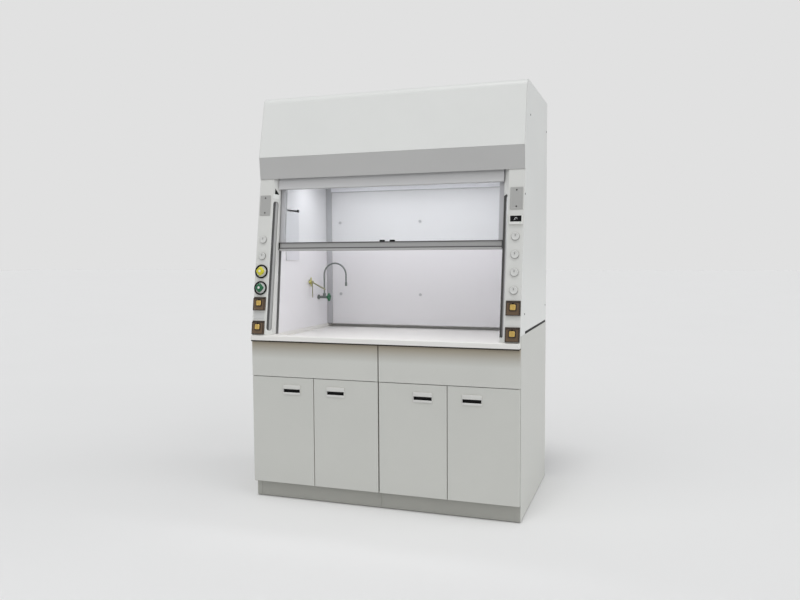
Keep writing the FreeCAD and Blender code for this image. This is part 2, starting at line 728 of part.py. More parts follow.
def screw_holes(side):
    """Holes for the side panel screws, through panel and post return."""
    radius = SCREW_SHANK_R + SCREW_FIT
    return [rod(radius, (side * (INSIDE - 2 * SHEET), y, z), (side, 0, 0), 4 * SHEET)
            for y, z in SIDE_SCREWS]


def blank_plate(side):
    w = post_w(PLATE_Z)
    x = side * FITTING_X
    plate = post_box(x - PLATE_W / 2, x + PLATE_W / 2, -PLATE_T, 0, w - PLATE_H / 2, w + PLATE_H / 2)
    screws = [post_rod(PLATE_SCREW_R, x, w + end * PLATE_SCREW_PITCH / 2, -PLATE_T - 1, -PLATE_T)
              for end in (-1, 1)]
    return [plate] + screws


def hole_plug(side, z):
    """Round plug: shallow domed head and a stem through the post."""
    x = side * FITTING_X
    w = post_w(z)
    y = FRONT + POST_FOOT
    sphere_r = (PLUG_R ** 2 + (PLUG_T / 2) ** 2) / PLUG_T
    ball = Part.makeSphere(sphere_r, V(x, y - PLUG_T + sphere_r, FOOT_Z + w))
    head = rod(PLUG_R, (x, y - PLUG_T, FOOT_Z + w), (0, 1, 0), PLUG_T).common(ball)
    stem = rod(PLUG_STEM_R, (x, y, FOOT_Z + w), (0, 1, 0), PLUG_STEM)
    return on_post(fuse([head, stem]))


PLUGS = [(1, z) for z in PLUG_Z_RIGHT] + [(-1, z) for z in PLUG_Z_LEFT]


def monitor_housing():
    """Bezel on the right post with a body behind and a pocket for the display."""
    x = FITTING_X
    w = post_w(MONITOR_Z)
    bezel = post_box(x - MONITOR_W / 2, x + MONITOR_W / 2, -MONITOR_T, 0, w - MONITOR_H / 2, w + MONITOR_H / 2)
    body = post_box(x - DISPLAY_W / 2, x + DISPLAY_W / 2, 0, MONITOR_BODY, w - DISPLAY_H / 2, w + DISPLAY_H / 2)
    pocket = post_box(x - DISPLAY_W / 2, x + DISPLAY_W / 2, -MONITOR_T - 1, -MONITOR_T + DISPLAY_T,
                      w + DISPLAY_UP - DISPLAY_H / 2, w + DISPLAY_UP + DISPLAY_H / 2)
    return fuse([bezel, body]).cut(pocket)


def monitor_display():
    x = FITTING_X
    w = post_w(MONITOR_Z) + DISPLAY_UP
    half = DISPLAY_W / 2 - LINER_GAP / 2
    tall = DISPLAY_H / 2 - LINER_GAP / 2
    return post_box(x - half, x + half, -MONITOR_T, -MONITOR_T + DISPLAY_T, w - tall, w + tall)


def outlet_base(side, z):
    """Socket: flange on the post, box behind, and hinge lugs with the pin between them."""
    x = side * FITTING_X
    w = post_w(z)
    half = OUTLET_SIZE / 2
    flange = post_box(x - half, x + half, -OUTLET_FLANGE, 0, w - half, w + half)
    body = post_box(x - OUTLET_BOX / 2, x + OUTLET_BOX / 2, 0, OUTLET_BOX_D,
                    w - OUTLET_BOX / 2, w + OUTLET_BOX / 2)
    hinge_w = w + half - HINGE_BARREL_R
    y = FRONT + POST_FOOT - HINGE_SET
    lugs = []
    for left in (x - HINGE_HALF - HINGE_LUG, x + HINGE_HALF):
        lugs.append(on_post(rod(HINGE_BARREL_R, (left, y, FOOT_Z + hinge_w), (1, 0, 0), HINGE_LUG)))
        lugs.append(post_box(left, left + HINGE_LUG, -HINGE_SET, -OUTLET_FLANGE,
                             hinge_w - HINGE_BARREL_R, hinge_w + HINGE_BARREL_R))
    pin = on_post(rod(HINGE_PIN_R, (x - HINGE_HALF, y, FOOT_Z + hinge_w), (1, 0, 0), 2 * HINGE_HALF))
    return fuse([flange, body, pin] + lugs)


def outlet_cover(side, z):
    """Splash cover: shallow tray hung from the pin by a barrel, with a square boss."""
    x = side * FITTING_X
    w = post_w(z)
    half = OUTLET_SIZE / 2
    near = -OUTLET_FLANGE - COVER_GAP
    far = near - COVER_D
    top = w + half - 2 * HINGE_BARREL_R - COVER_GAP
    tray = post_box(x - half, x + half, far, near, w - half, top)
    hollow = post_box(x - half + COVER_WALL, x + half - COVER_WALL, far + COVER_WALL, near + 1,
                      w - half + COVER_WALL, top - COVER_WALL)
    reach = HINGE_HALF - HINGE_END_GAP
    y = FRONT + POST_FOOT
    hinge_w = w + half - HINGE_BARREL_R
    barrel = on_post(rod(HINGE_BARREL_R, (x - reach, y - HINGE_SET, FOOT_Z + hinge_w), (1, 0, 0), 2 * reach))
    tongue = post_box(x - reach, x + reach, -HINGE_SET - HINGE_BARREL_R, -HINGE_SET + COVER_WALL / 2,
                      top - COVER_WALL, hinge_w)
    boss_w = w + BOSS_UP - HINGE_BARREL_R
    boss = post_box(x - BOSS / 2, x + BOSS / 2, far - BOSS_T, far, boss_w - BOSS / 2, boss_w + BOSS / 2)
    bore = on_post(rod(HINGE_PIN_R + HINGE_FIT, (x - half, y - HINGE_SET, FOOT_Z + hinge_w), (1, 0, 0),
                       OUTLET_SIZE))
    return fuse([tray.cut(hollow), barrel, tongue, boss]).cut(bore)


def valve_ring(z):
    w = post_w(z)
    outer = post_rod(RING_R, -FITTING_X, w, -RING_T, 0)
    return outer.cut(post_rod(RING_INNER_R, -FITTING_X, w, -RING_T - 1, 1))


def arms(centre, across, upwards, length, radius, knob):
    """Four arms with ball ends, in the plane of the two directions."""
    shapes = []
    for direction in (across, upwards, tuple(-a for a in across), tuple(-a for a in upwards)):
        shapes.append(rod(radius, centre, direction, length))
        tip = [c + d * length for c, d in zip(centre, direction)]
        shapes.append(Part.makeSphere(knob, V(*tip)))
    return shapes


def valve_handle(z):
    """Four-arm knob on a stem that passes through the left post."""
    x = -FITTING_X
    w = post_w(z)
    y = FRONT + POST_FOOT
    stem = rod(VALVE_STEM_R, (x, y - VALVE_STEM_OUT, FOOT_Z + w), (0, 1, 0), VALVE_STEM_OUT + VALVE_STEM_IN)
    hub = rod(HANDLE_HUB_R, (x, y - VALVE_STEM_OUT - HANDLE_HUB_T, FOOT_Z + w), (0, 1, 0), HANDLE_HUB_T)
    middle = (x, y - VALVE_STEM_OUT - HANDLE_HUB_T / 2, FOOT_Z + w)
    cross = arms(middle, (1, 0, 0), (0, 0, 1), HANDLE_ARM - HANDLE_KNOB_R, HANDLE_ARM_R, HANDLE_KNOB_R)
    return on_post(fuse([stem, hub] + cross))


post_right = cut(post(), outlet_holes(1) + screw_holes(1)
                 + [post_bore(FITTING_X, z, PLUG_STEM_R + PLUG_FIT) for z in PLUG_Z_RIGHT]
                 + [post_hole(FITTING_X, MONITOR_Z, DISPLAY_W / 2 + PLUG_FIT, DISPLAY_H / 2 + PLUG_FIT)])
post_left = cut(mirrored(post()), outlet_holes(-1) + screw_holes(-1)
                + [post_bore(-FITTING_X, z, PLUG_STEM_R + PLUG_FIT) for z in PLUG_Z_LEFT]
                + [post_bore(-FITTING_X, z, VALVE_STEM_R + VALVE_FIT) for z in VALVE_Z])
save("post_right", [post_right])
save("post_left", [post_left])
save("jamb_channels", pair(jamb_channel()))
save("sash_tracks", pair(sash_track()))
save("blank_plates", blank_plate(1) + blank_plate(-1))
save("hole_plugs", [hole_plug(side, z) for side, z in PLUGS])
save("monitor_housing", [monitor_housing()])
save("monitor_display", [monitor_display()])
OUTLETS = [(side, z) for side in (-1, 1) for z in OUTLET_Z]
save("outlet_bases", [outlet_base(side, z) for side, z in OUTLETS])
for number, (side, z) in enumerate(OUTLETS, start=1):
    save("outlet_cover_" + str(number), [outlet_cover(side, z)])
save("valve_rings", [valve_ring(z) for z in VALVE_Z])
save("valve_handle_yellow", [valve_handle(VALVE_Z[0])])
save("valve_handle_green", [valve_handle(VALVE_Z[1])])

# ------------------------------------------------------------- bonnet and shell

def bonnet_line(inset):
    """Side outline of the bonnet sheet, inset from its outer face: edges in the YZ plane."""
    y0 = post_y(BAND_BOTTOM) - BAND_PROUD - BAND_FORWARD
    slope = math.atan2(BONNET_LEAN, BAND_TOP_BELOW)
    radius = BONNET_R - inset
    # centre of the round edge: BONNET_R inside both the sloping face and the top
    cz = HEIGHT - BONNET_R
    cy = y0 + (cz - BAND_TOP) * math.tan(slope) + BONNET_R / math.cos(slope)
    low = V(0, y0 + inset / math.cos(slope), BAND_TOP)
    tangent = V(0, cy - radius * math.cos(slope), cz + radius * math.sin(slope))
    middle_angle = (math.pi - slope + math.pi / 2) / 2
    middle = V(0, cy + radius * math.cos(middle_angle), cz + radius * math.sin(middle_angle))
    crown = V(0, cy, HEIGHT - inset)
    back = V(0, y0 + BONNET_LEAN + BONNET_TOP, HEIGHT - inset)
    edges = [Part.LineSegment(low, tangent).toShape(), Part.Arc(tangent, middle, crown).toShape(),
             Part.LineSegment(crown, back).toShape()]
    return edges, low, back


BONNET_BACK = bonnet_line(0)[2].y


def bonnet():
    outer, low, back = bonnet_line(0)
    inner, inner_low, inner_back = bonnet_line(SHEET)
    ends = [Part.LineSegment(back, inner_back).toShape(), Part.LineSegment(inner_low, low).toShape()]
    wire = Part.Wire(Part.__sortEdges__(outer + inner + ends))
    sheet = Part.Face(wire).extrude(V(2 * (INSIDE - SEAM), 0, 0))
    sheet.translate(V(-INSIDE + SEAM, 0, 0))
    return sheet


def bonnet_band():
    """Band under the bonnet, with a return folded back along its lower edge."""
    y0 = post_y(BAND_BOTTOM) - BAND_PROUD
    y1 = y0 - BAND_FORWARD
    t = SHEET
    top = BAND_TOP - SEAM
    outline = [(y0, BAND_BOTTOM), (y1, top), (y1 + t, top), (y0 + t, BAND_BOTTOM)]
    return prism_x(outline, -INSIDE + SEAM, INSIDE - SEAM)


def header():
    """Panel over the sash opening, folded back towards the sash at its lower edge."""
    half = INNER_HALF - LINER_GAP
    low = post_w(HEADER_BOTTOM)
    high = post_w(POST_TOP)
    face = post_box(-half, half, HEADER_SET, HEADER_SET + SHEET, low, high)
    room = sash_y(HEADER_BOTTOM) - post_y(HEADER_BOTTOM) + HANDLE_FRONT - HEADER_CLEAR
    fold = post_box(-half, half, HEADER_SET, min(HEADER_SET + HEADER_RETURN, room), low, low + SHEET)
    return fuse([face, fold])


def side_panel():
    """Upper side panel: follows the post, the band and the bonnet, open slot at its foot."""
    y0 = post_y(BAND_BOTTOM)
    edges, low, back = bonnet_line(0)
    start = V(0, post_y(SIDE_SPLIT_Z + SEAM), SIDE_SPLIT_Z + SEAM)
    notch_z = SIDE_SPLIT_Z + SIDE_SLOT_H
    points = [V(0, BACK, HEIGHT), V(0, BACK, notch_z), V(0, FRONT + SIDE_SLOT_Y, notch_z),
              V(0, FRONT + SIDE_SLOT_Y, SIDE_SPLIT_Z + SEAM), start, V(0, y0, BAND_BOTTOM),
              V(0, y0 - BAND_PROUD, BAND_BOTTOM), low]
    lines = [Part.LineSegment(back, points[0]).toShape()]
    for a, b in zip(points[:-1], points[1:]):
        lines.append(Part.LineSegment(a, b).toShape())
    wire = Part.Wire(Part.__sortEdges__(edges + lines))
    panel = Part.Face(wire).extrude(V(SHEET, 0, 0))
    panel.translate(V(INSIDE, 0, 0))
    return cut(panel, screw_holes(1))


def side_screw(side, y, z):
    head = rod(SCREW_HEAD_R, (side * HALF, y, z), (side, 0, 0), SCREW_HEAD_T)
    shank = rod(SCREW_SHANK_R, (side * HALF, y, z), (-side, 0, 0), SCREW_SHANK)
    return fuse([head, shank])


def top_panel():
    """Roof sheet with the exhaust opening."""
    sheet = box(-INSIDE + SEAM, INSIDE - SEAM, BONNET_BACK + SEAM, BACK_INSIDE, ROOF_UNDER, HEIGHT)
    opening = rod(COLLAR_R - COLLAR_WALL, (0, COLLAR_Y, 0), (0, 0, 1), HEIGHT * 2)
    return sheet.cut(opening)


def exhaust_collar():
    y = COLLAR_Y
    flange = rod(COLLAR_R + COLLAR_FLANGE, (0, y, HEIGHT), (0, 0, 1), SHEET)
    tube = rod(COLLAR_R, (0, y, HEIGHT), (0, 0, 1), COLLAR_H)
    bore = rod(COLLAR_R - COLLAR_WALL, (0, y, HEIGHT - 1), (0, 0, 1), COLLAR_H + 2)
    return fuse([flange, tube]).cut(bore)


save("bonnet", [bonnet()])
save("bonnet_band", [bonnet_band()])
save("header_panel", [header()])
save("side_panels", pair(side_panel()))
save("side_screws", [side_screw(side, y, z) for side in (-1, 1) for y, z in SIDE_SCREWS])
save("back_panel", [box(-INSIDE + SEAM, INSIDE - SEAM, BACK_INSIDE, BACK, WORKTOP_Z, HEIGHT)])
save("top_panel", [top_panel()])
save("exhaust_collar", [exhaust_collar()])

# --------------------------------------------------------------- chamber lining

TRACK_BACK = SASH_BACK + TRACK_CLEAR + TRACK_WALL
UPSTAND_Y = sash_y(ROOF_UNDER, SASH_BACK) + UPSTAND_GAP
LIGHT_Y = UPSTAND_Y + LIGHT_BACK


def liner_side():
    """Side lining from the sash track to the outer back, up to the roof."""
    top = ROOF_UNDER - SEAM
    outline = [(sash_y(WORKTOP_Z, TRACK_BACK + SEAM), WORKTOP_Z), (sash_y(top, TRACK_BACK + SEAM), top),
               (BACK_INSIDE - SEAM, top), (BACK_INSIDE - SEAM, WORKTOP_Z)]
    return prism_x(outline, INNER_HALF, INNER_HALF + LINER)


def wall_bore(y, z, radius):
    return rod(radius, (-INNER_HALF + 1, y, z), (-1, 0, 0), LINER + 2)


def liner_sides():
    left = mirrored(liner_side())
    access_top = box(-INNER_HALF - LINER - 1, -INNER_HALF + 1, FRONT + ACCESS_Y[0], FRONT + ACCESS_Y[1],
                     ACCESS_Z[1], ACCESS_Z[1] + ACCESS_SLOT_H)
    holes = [wall_bore(GAS_Y, GAS_Z, GAS_BODY_R), wall_bore(TAP_Y, TAP_Z, TAP_BODY_R)]
    return [liner_side(), cut(left, [access_top] + holes)]


def baffle():
    """Back baffle, seated on the rim at its ends: air passes over the dish and up behind it."""
    half = INNER_HALF - LINER_GAP
    return box(-half, half, BAFFLE_Y, BAFFLE_Y + BAFFLE_T, WORKTOP_Z, CEILING_Z)


def baffle_trim():
    """Corner strips, top strip and the round fixings, all on the front of the baffle."""
    half = INNER_HALF - LINER_GAP
    low = WORKTOP_Z
    front = BAFFLE_Y - TRIM_T
    strips = [box(half - TRIM_W, half, front, BAFFLE_Y, low, CEILING_Z),
              box(-half, TRIM_W - half, front, BAFFLE_Y, low, CEILING_Z),
              box(TRIM_W - half, half - TRIM_W, front, BAFFLE_Y, CEILING_Z - TOP_TRIM_H, CEILING_Z)]
    fixings = [rod(FASTENER_R, (x, BAFFLE_Y, z), (0, -1, 0), FASTENER_T)
               for x in FASTENER_X for z in FASTENER_Z]
    return strips + fixings


def ceiling():
    """Chamber ceiling with the light opening and an upstand that closes the plenum's front."""
    half = INNER_HALF - LINER_GAP
    t = SHEET
    plate = box(-half, half, sash_y(CEILING_Z, SASH_BACK) + CEILING_GAP, BAFFLE_Y + BAFFLE_T,
                CEILING_Z, CEILING_Z + t)
    upstand = box(-half, half, UPSTAND_Y, UPSTAND_Y + t, CEILING_Z, ROOF_UNDER)
    y = LIGHT_Y
    opening = box(-LIGHT_W / 2, LIGHT_W / 2, y - LIGHT_D / 2, y + LIGHT_D / 2, CEILING_Z - 1, CEILING_Z + t + 1)
    return fuse([plate, upstand]).cut(opening)


def light_fixture():
    """Tray over the ceiling opening, with the tube and its end holders inside."""
    x = LIGHT_W / 2
    y = LIGHT_Y
    z = CEILING_Z + SHEET
    t = CARCASS
    lap = 4 * LENS_FIT
    outer = box(-x - lap, x + lap, y - LIGHT_D / 2 - lap, y + LIGHT_D / 2 + lap, z, z + LIGHT_H)
    hollow = box(-x - lap + t, x + lap - t, y - LIGHT_D / 2 - lap + t, y + LIGHT_D / 2 + lap - t,
                 z - 1, z + LIGHT_H - t)
    tube = rod(TUBE_R, (-x + TRIM_W, y, z + LIGHT_H / 2), (1, 0, 0), LIGHT_W - 2 * TRIM_W)
    holders = [box(a, a + TRIM_T, y - TUBE_R, y + TUBE_R, z + LIGHT_H / 2 - TUBE_R, z + LIGHT_H - t)
               for a in (-x + TRIM_W - TRIM_T, x - TRIM_W)]
    return [fuse([outer.cut(hollow)] + holders), tube]


def light_lens():
    x = LIGHT_W / 2 - LENS_FIT
    y = LIGHT_Y
    half = LIGHT_D / 2 - LENS_FIT
    return box(-x, x, y - half, y + half, CEILING_Z, CEILING_Z + LENS_T)


def access_panel():
    return box(-INNER_HALF, -INNER_HALF + ACCESS_T, FRONT + ACCESS_Y[0], FRONT + ACCESS_Y[1],
               ACCESS_Z[0], ACCESS_Z[1])


save("liner_sides", liner_sides())
save("back_baffle", [baffle()])
save("baffle_trim", baffle_trim())
save("liner_ceiling", [ceiling()])
save("light_fixture", light_fixture())
save("light_lens", [light_lens()])
save("access_panel", [access_panel()])

# -------------------------------------------------- sash and its counterbalance

def glass(grow):
    """Pane, or with grow the groove that it sits in."""
    half = INNER_HALF + STILE_SIDE_GAP * 4 - STILE_W + GLASS_BITE + grow
    low = SASH_W + HANDLE_H - GLASS_BITE - grow
    high = SASH_W + SASH_SPAN - TOP_RAIL_H + GLASS_BITE + grow
    return sash_box(-half, half, GLASS_SET - grow, GLASS_SET + GLASS_T + grow, low, high)


STILE_OUT = INNER_HALF + STILE_SIDE_GAP * 4          # outer edge of a stile, inside its track


def sash_frame():
    """Two stiles and the top rail, grooved for the glass, with a cable lug on each stile."""
    n0 = STILE_FRONT
    n1 = STILE_FRONT + STILE_T
    w1 = SASH_W + SASH_SPAN
    stile = sash_box(STILE_OUT - STILE_W, STILE_OUT, n0, n1, SASH_W + HANDLE_H, w1)
    rail = sash_box(-STILE_OUT, STILE_OUT, n0, n1, w1 - TOP_RAIL_H, w1)
    middle = STILE_FRONT + STILE_T / 2
    lug = sash_box(STILE_OUT, LUG_X + LUG_W / 2, middle - LUG_T / 2, middle + LUG_T / 2,
                   SASH_W + LUG_UP, SASH_W + LUG_UP + LUG_H)
    return fuse(pair(fuse([stile, lug])) + [rail]).cut(glass(GLASS_FIT))


def sash_handle():
    """Bottom rail of the sash: full-width pull with a finger lip along its lower edge."""
    half = INNER_HALF - HANDLE_END_GAP
    back = STILE_FRONT + STILE_T
    y = FRONT + SASH_FOOT
    z = FOOT_Z + SASH_W
    lip = HANDLE_FRONT
    outline = [(y + back, z), (y + lip, z), (y + lip, z + HANDLE_H * 0.22), (y + lip / 4, z + HANDLE_H * 0.34),
               (y + lip / 4, z + HANDLE_H * 0.85), (y + lip / 2, z + HANDLE_H), (y + back, z + HANDLE_H)]
    bar = on_sash(prism_x(outline, -half, half))
    return bar.cut(glass(GLASS_FIT))


def sash_clip(x):
    w = SASH_W + HANDLE_H
    return sash_box(x - CLIP_W / 2, x + CLIP_W / 2, STILE_FRONT - CLIP_D / 2, GLASS_SET - GLASS_FIT,
                    w, w + CLIP_H)


CABLE_UP = V(0, SASH_SIN, SASH_COS)                # along the sash
CABLE_OUT = V(0, -SASH_COS, SASH_SIN)              # square to it, forwards
PULLEY_W0 = (HEIGHT - PULLEY_BELOW - FOOT_Z) / SASH_COS
PULLEY_AT = V(CABLE_X, FRONT + SASH_FOOT, FOOT_Z) + CABLE_UP * PULLEY_W0 - CABLE_OUT * (CABLE_SET + PULLEY_R)


def pulley():
    """Grooved wheel on the right-hand axle."""
    x, y, z = PULLEY_AT
    wheel = rod(PULLEY_R + PULLEY_RIM, (x - PULLEY_W / 2, y, z), (1, 0, 0), PULLEY_W)
    groove_r = CABLE_R + CABLE_CLEAR
    groove = Part.makeTorus(PULLEY_R, groove_r, V(x, y, z), V(1, 0, 0))
    rim = rod(PULLEY_R + PULLEY_RIM + 1, (x - groove_r, y, z), (1, 0, 0), 2 * groove_r)
    rim = rim.cut(rod(PULLEY_R, (x - groove_r - 1, y, z), (1, 0, 0), 2 * groove_r + 2))
    bore = rod(AXLE_R + AXLE_FIT, (x - PULLEY_W, y, z), (1, 0, 0), 2 * PULLEY_W)
    return cut(wheel, [groove, rim, bore])


def pulley_bracket():
    """Plate hung from the roof, carrying the axle."""
    x0 = CABLE_X + PULLEY_W / 2 + BRACKET_GAP
    x, y, z = PULLEY_AT
    plate = box(x0, x0 + BRACKET_T, y - BRACKET_HALF, y + BRACKET_HALF, z - BRACKET_HALF, ROOF_UNDER)
    cap = box(x0, x0 + BRACKET_HALF, y - BRACKET_HALF, y + BRACKET_HALF, ROOF_UNDER - BRACKET_T, ROOF_UNDER)
    end = x - PULLEY_W / 2 - 1
    axle = rod(AXLE_R, (end, y, z), (1, 0, 0), x0 + 1 - end)
    collar = rod(AXLE_R + 3, (x + PULLEY_W / 2 + 1, y, z), (1, 0, 0), BRACKET_GAP - 1)
    return fuse([plate, cap, axle, collar])


def cable():
    """From the sash lug up to the wheel, over it and straight down to the weight."""
    front = PULLEY_AT + CABLE_OUT * PULLEY_R
    crown = PULLEY_AT + V(0, 0, PULLEY_R)
    back = PULLEY_AT + V(0, PULLEY_R, 0)
    start = front - CABLE_UP * (PULLEY_W0 - SASH_W - LUG_UP - LUG_H)
    end = V(back.x, back.y, WEIGHT_BOTTOM_Z + WEIGHT_H)
    path = Part.Wire([Part.LineSegment(start, front).toShape(), Part.Arc(front, crown, back).toShape(),
                      Part.LineSegment(back, end).toShape()])
    ring = Part.Wire([Part.Circle(start, CABLE_UP, CABLE_R).toShape()])
    return path.makePipeShell([ring], True, False)


def weight():
    y = PULLEY_AT.y + PULLEY_R
    return box(CABLE_X - WEIGHT_W / 2, CABLE_X + WEIGHT_W / 2, y - WEIGHT_D / 2, y + WEIGHT_D / 2,
               WEIGHT_BOTTOM_Z, WEIGHT_BOTTOM_Z + WEIGHT_H)


save("sash_frame", [sash_frame()])
save("sash_handle", [sash_handle()])
save("sash_glass", [glass(0)])
save("sash_clips", [sash_clip(x) for x in CLIP_X])
save("sash_pulleys", pair(pulley()))
save("pulley_brackets", pair(pulley_bracket()))
save("sash_cables", pair(cable()))
save("counterweights", pair(weight()))

# ------------------------------------------------------- services in the chamber

def gas_nozzle():
    """Gas cock on the left lining: rose, body, sloping hose nozzle and drop pipe."""
    x = -INNER_HALF
    y = GAS_Y
    z = GAS_Z
    rose = rod(GAS_ROSE_R, (x, y, z), (1, 0, 0), GAS_ROSE_T)
    shank = rod(GAS_BODY_R - LINER_GAP, (x, y, z), (-1, 0, 0), LINER + GAS_ROSE_T)
    body = rod(GAS_BODY_R, (x, y, z), (1, 0, 0), GAS_BODY_L)
    drop = math.radians(GAS_NOZZLE_DROP)
    slope = (math.cos(drop), 0, -math.sin(drop))
    nozzle = rod(GAS_NOZZLE_R, (x + GAS_BODY_L - 2 * GAS_NOZZLE_R, y, z), slope, GAS_NOZZLE_L)
    pipe = rod(GAS_DROP_R, (x + GAS_BODY_L - 2 * GAS_DROP_R, y, z), (0, 0, -1), GAS_DROP_L)
    return fuse([rose, shank, body, nozzle, pipe])


def gas_handle():
    """Four-arm ring that turns on the cock's body, next to the rose."""
    x = -INNER_HALF + GAS_ROSE_T + GAS_RING_GAP
    centre = (x + GAS_RING_W / 2, GAS_Y, GAS_Z)
    ring = rod(GAS_RING_R, (x,) + centre[1:], (1, 0, 0), GAS_RING_W)
    bore = rod(GAS_BODY_R + VALVE_FIT, (x - 1,) + centre[1:], (1, 0, 0), GAS_RING_W + 2)
    cross = arms(centre, (0, 1, 0), (0, 0, 1), GAS_ARM - GAS_ARM_R - 1, GAS_ARM_R, GAS_ARM_R + 1)
    return fuse([ring] + cross).cut(bore)


def tap_handle():
    """Four-arm handle facing into the chamber, its stem running in the tap's body."""
    x = -INNER_HALF + TAP_BODY_L
    y = TAP_Y
    r = TAP_ARM_R
    stem = rod(TAP_STEM_R, (x - TAP_STEM_IN, y, TAP_Z), (1, 0, 0), TAP_STEM_IN + TAP_STEM_OUT)
    hub = rod(r + 2, (x + TAP_STEM_OUT, y, TAP_Z), (1, 0, 0), 2 * r)
    cross = arms((x + TAP_STEM_OUT + r, y, TAP_Z), (0, 1, 0), (0, 0, 1), TAP_ARM - r - 1, r, r + 1)
    return fuse([stem, hub] + cross)


NECK_AXIS = (-INNER_HALF + NECK_X, TAP_Y)


def water_tap():
    """Tap body on the left lining, with the stem bore and the gooseneck's socket."""
    x = -INNER_HALF
    y = TAP_Y
    rose = rod(TAP_ROSE_R, (x, y, TAP_Z), (1, 0, 0), TAP_ROSE_T)
    shank = rod(TAP_BODY_R - LINER_GAP, (x, y, TAP_Z), (-1, 0, 0), LINER + TAP_ROSE_T)
    body = rod(TAP_BODY_R, (x, y, TAP_Z), (1, 0, 0), TAP_BODY_L)
    tower = rod(NECK_SOCKET_R, NECK_AXIS + (TAP_Z,), (0, 0, 1), NECK_SOCKET_H)
    depth = TAP_STEM_IN + TAP_STEM_OUT
    bore = rod(TAP_STEM_R + VALVE_FIT, (x + TAP_BODY_L - depth, y, TAP_Z), (1, 0, 0), depth + 1)
    seat = TAP_Z + NECK_SOCKET_H - NECK_SPIGOT
    socket = rod(NECK_R + NECK_FIT, NECK_AXIS + (seat,), (0, 0, 1), NECK_SOCKET_H)
    return fuse([rose, shank, body, tower]).cut(bore).cut(socket)


def gooseneck():
    """Swan neck: upright, half turn and outlet nozzle."""
    x, y = NECK_AXIS
    radius = NECK_SPAN / 2
    z0 = TAP_Z + NECK_SOCKET_H - NECK_SPIGOT
    spring = NECK_TOP_Z - radius
    upright = rod(NECK_R, (x, y, z0), (0, 0, 1), spring - z0)
    bend = Part.makeTorus(radius, NECK_R, V(x + radius, y, spring), V(0, 1, 0))
    bend = bend.common(box(x - NECK_R * 2, x + NECK_SPAN + NECK_R * 2, y - NECK_R * 2, y + NECK_R * 2,
                           spring, NECK_TOP_Z + NECK_R * 2))
    fall = rod(NECK_R, (x + NECK_SPAN, y, NECK_TIP_Z), (0, 0, 1), spring - NECK_TIP_Z)
    tip = rod(NECK_TIP_R, (x + NECK_SPAN, y, NECK_TIP_Z), (0, 0, 1), NECK_TIP_L)
    return fuse([upright, bend, fall, tip])


save("gas_nozzle", [gas_nozzle()])
save("gas_handle", [gas_handle()])
save("water_tap", [water_tap()])
save("tap_handle", [tap_handle()])
save("gooseneck", [gooseneck()])
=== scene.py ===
"""Looks of a bench fume hood: materials, mesh detail, light and camera."""
import json
import math

import bmesh
import bpy
from mathutils import Matrix, Vector


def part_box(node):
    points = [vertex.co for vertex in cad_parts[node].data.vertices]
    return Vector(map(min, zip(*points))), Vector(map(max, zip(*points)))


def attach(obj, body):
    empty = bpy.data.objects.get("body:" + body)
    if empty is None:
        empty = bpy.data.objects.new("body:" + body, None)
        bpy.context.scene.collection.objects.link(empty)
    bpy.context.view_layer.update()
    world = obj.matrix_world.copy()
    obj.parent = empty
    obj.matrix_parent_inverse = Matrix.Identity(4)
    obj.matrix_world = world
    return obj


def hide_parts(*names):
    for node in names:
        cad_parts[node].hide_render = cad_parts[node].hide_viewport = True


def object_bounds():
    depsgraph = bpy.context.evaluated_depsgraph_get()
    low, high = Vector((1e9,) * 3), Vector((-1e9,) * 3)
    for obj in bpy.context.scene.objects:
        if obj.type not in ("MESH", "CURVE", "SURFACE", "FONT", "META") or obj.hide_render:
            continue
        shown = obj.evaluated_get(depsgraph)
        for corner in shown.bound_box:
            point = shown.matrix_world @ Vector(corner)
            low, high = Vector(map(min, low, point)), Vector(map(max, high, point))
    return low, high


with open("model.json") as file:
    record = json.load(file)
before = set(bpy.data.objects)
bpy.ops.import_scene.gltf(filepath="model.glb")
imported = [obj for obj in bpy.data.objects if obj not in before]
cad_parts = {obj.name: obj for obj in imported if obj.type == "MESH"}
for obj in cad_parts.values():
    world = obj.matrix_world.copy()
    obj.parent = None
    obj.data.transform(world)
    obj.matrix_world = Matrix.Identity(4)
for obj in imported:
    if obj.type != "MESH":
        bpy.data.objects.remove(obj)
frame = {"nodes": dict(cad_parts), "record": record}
NODES = frame["nodes"]
CAD_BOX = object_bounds()

# ------------------------------------------------------------------ materials

# colours of the painted shadow under the worktop's overhang, tinted warm, from its foot to its upper edge
WORKTOP_SHADOW = [(0.0, (1, 1, 1)), (0.4, (0.82, 0.80, 0.77)), (0.72, (0.70, 0.64, 0.56)), (1.0, (0.62, 0.53, 0.41))]
SMOOTHEST = 0.03                # no finish is glossier than this
SHEEN_CHANGE = 0.08             # how far roughness wanders across a surface
OPEN_SURFACE, TIGHT_CORNER = 0.8, 0.25


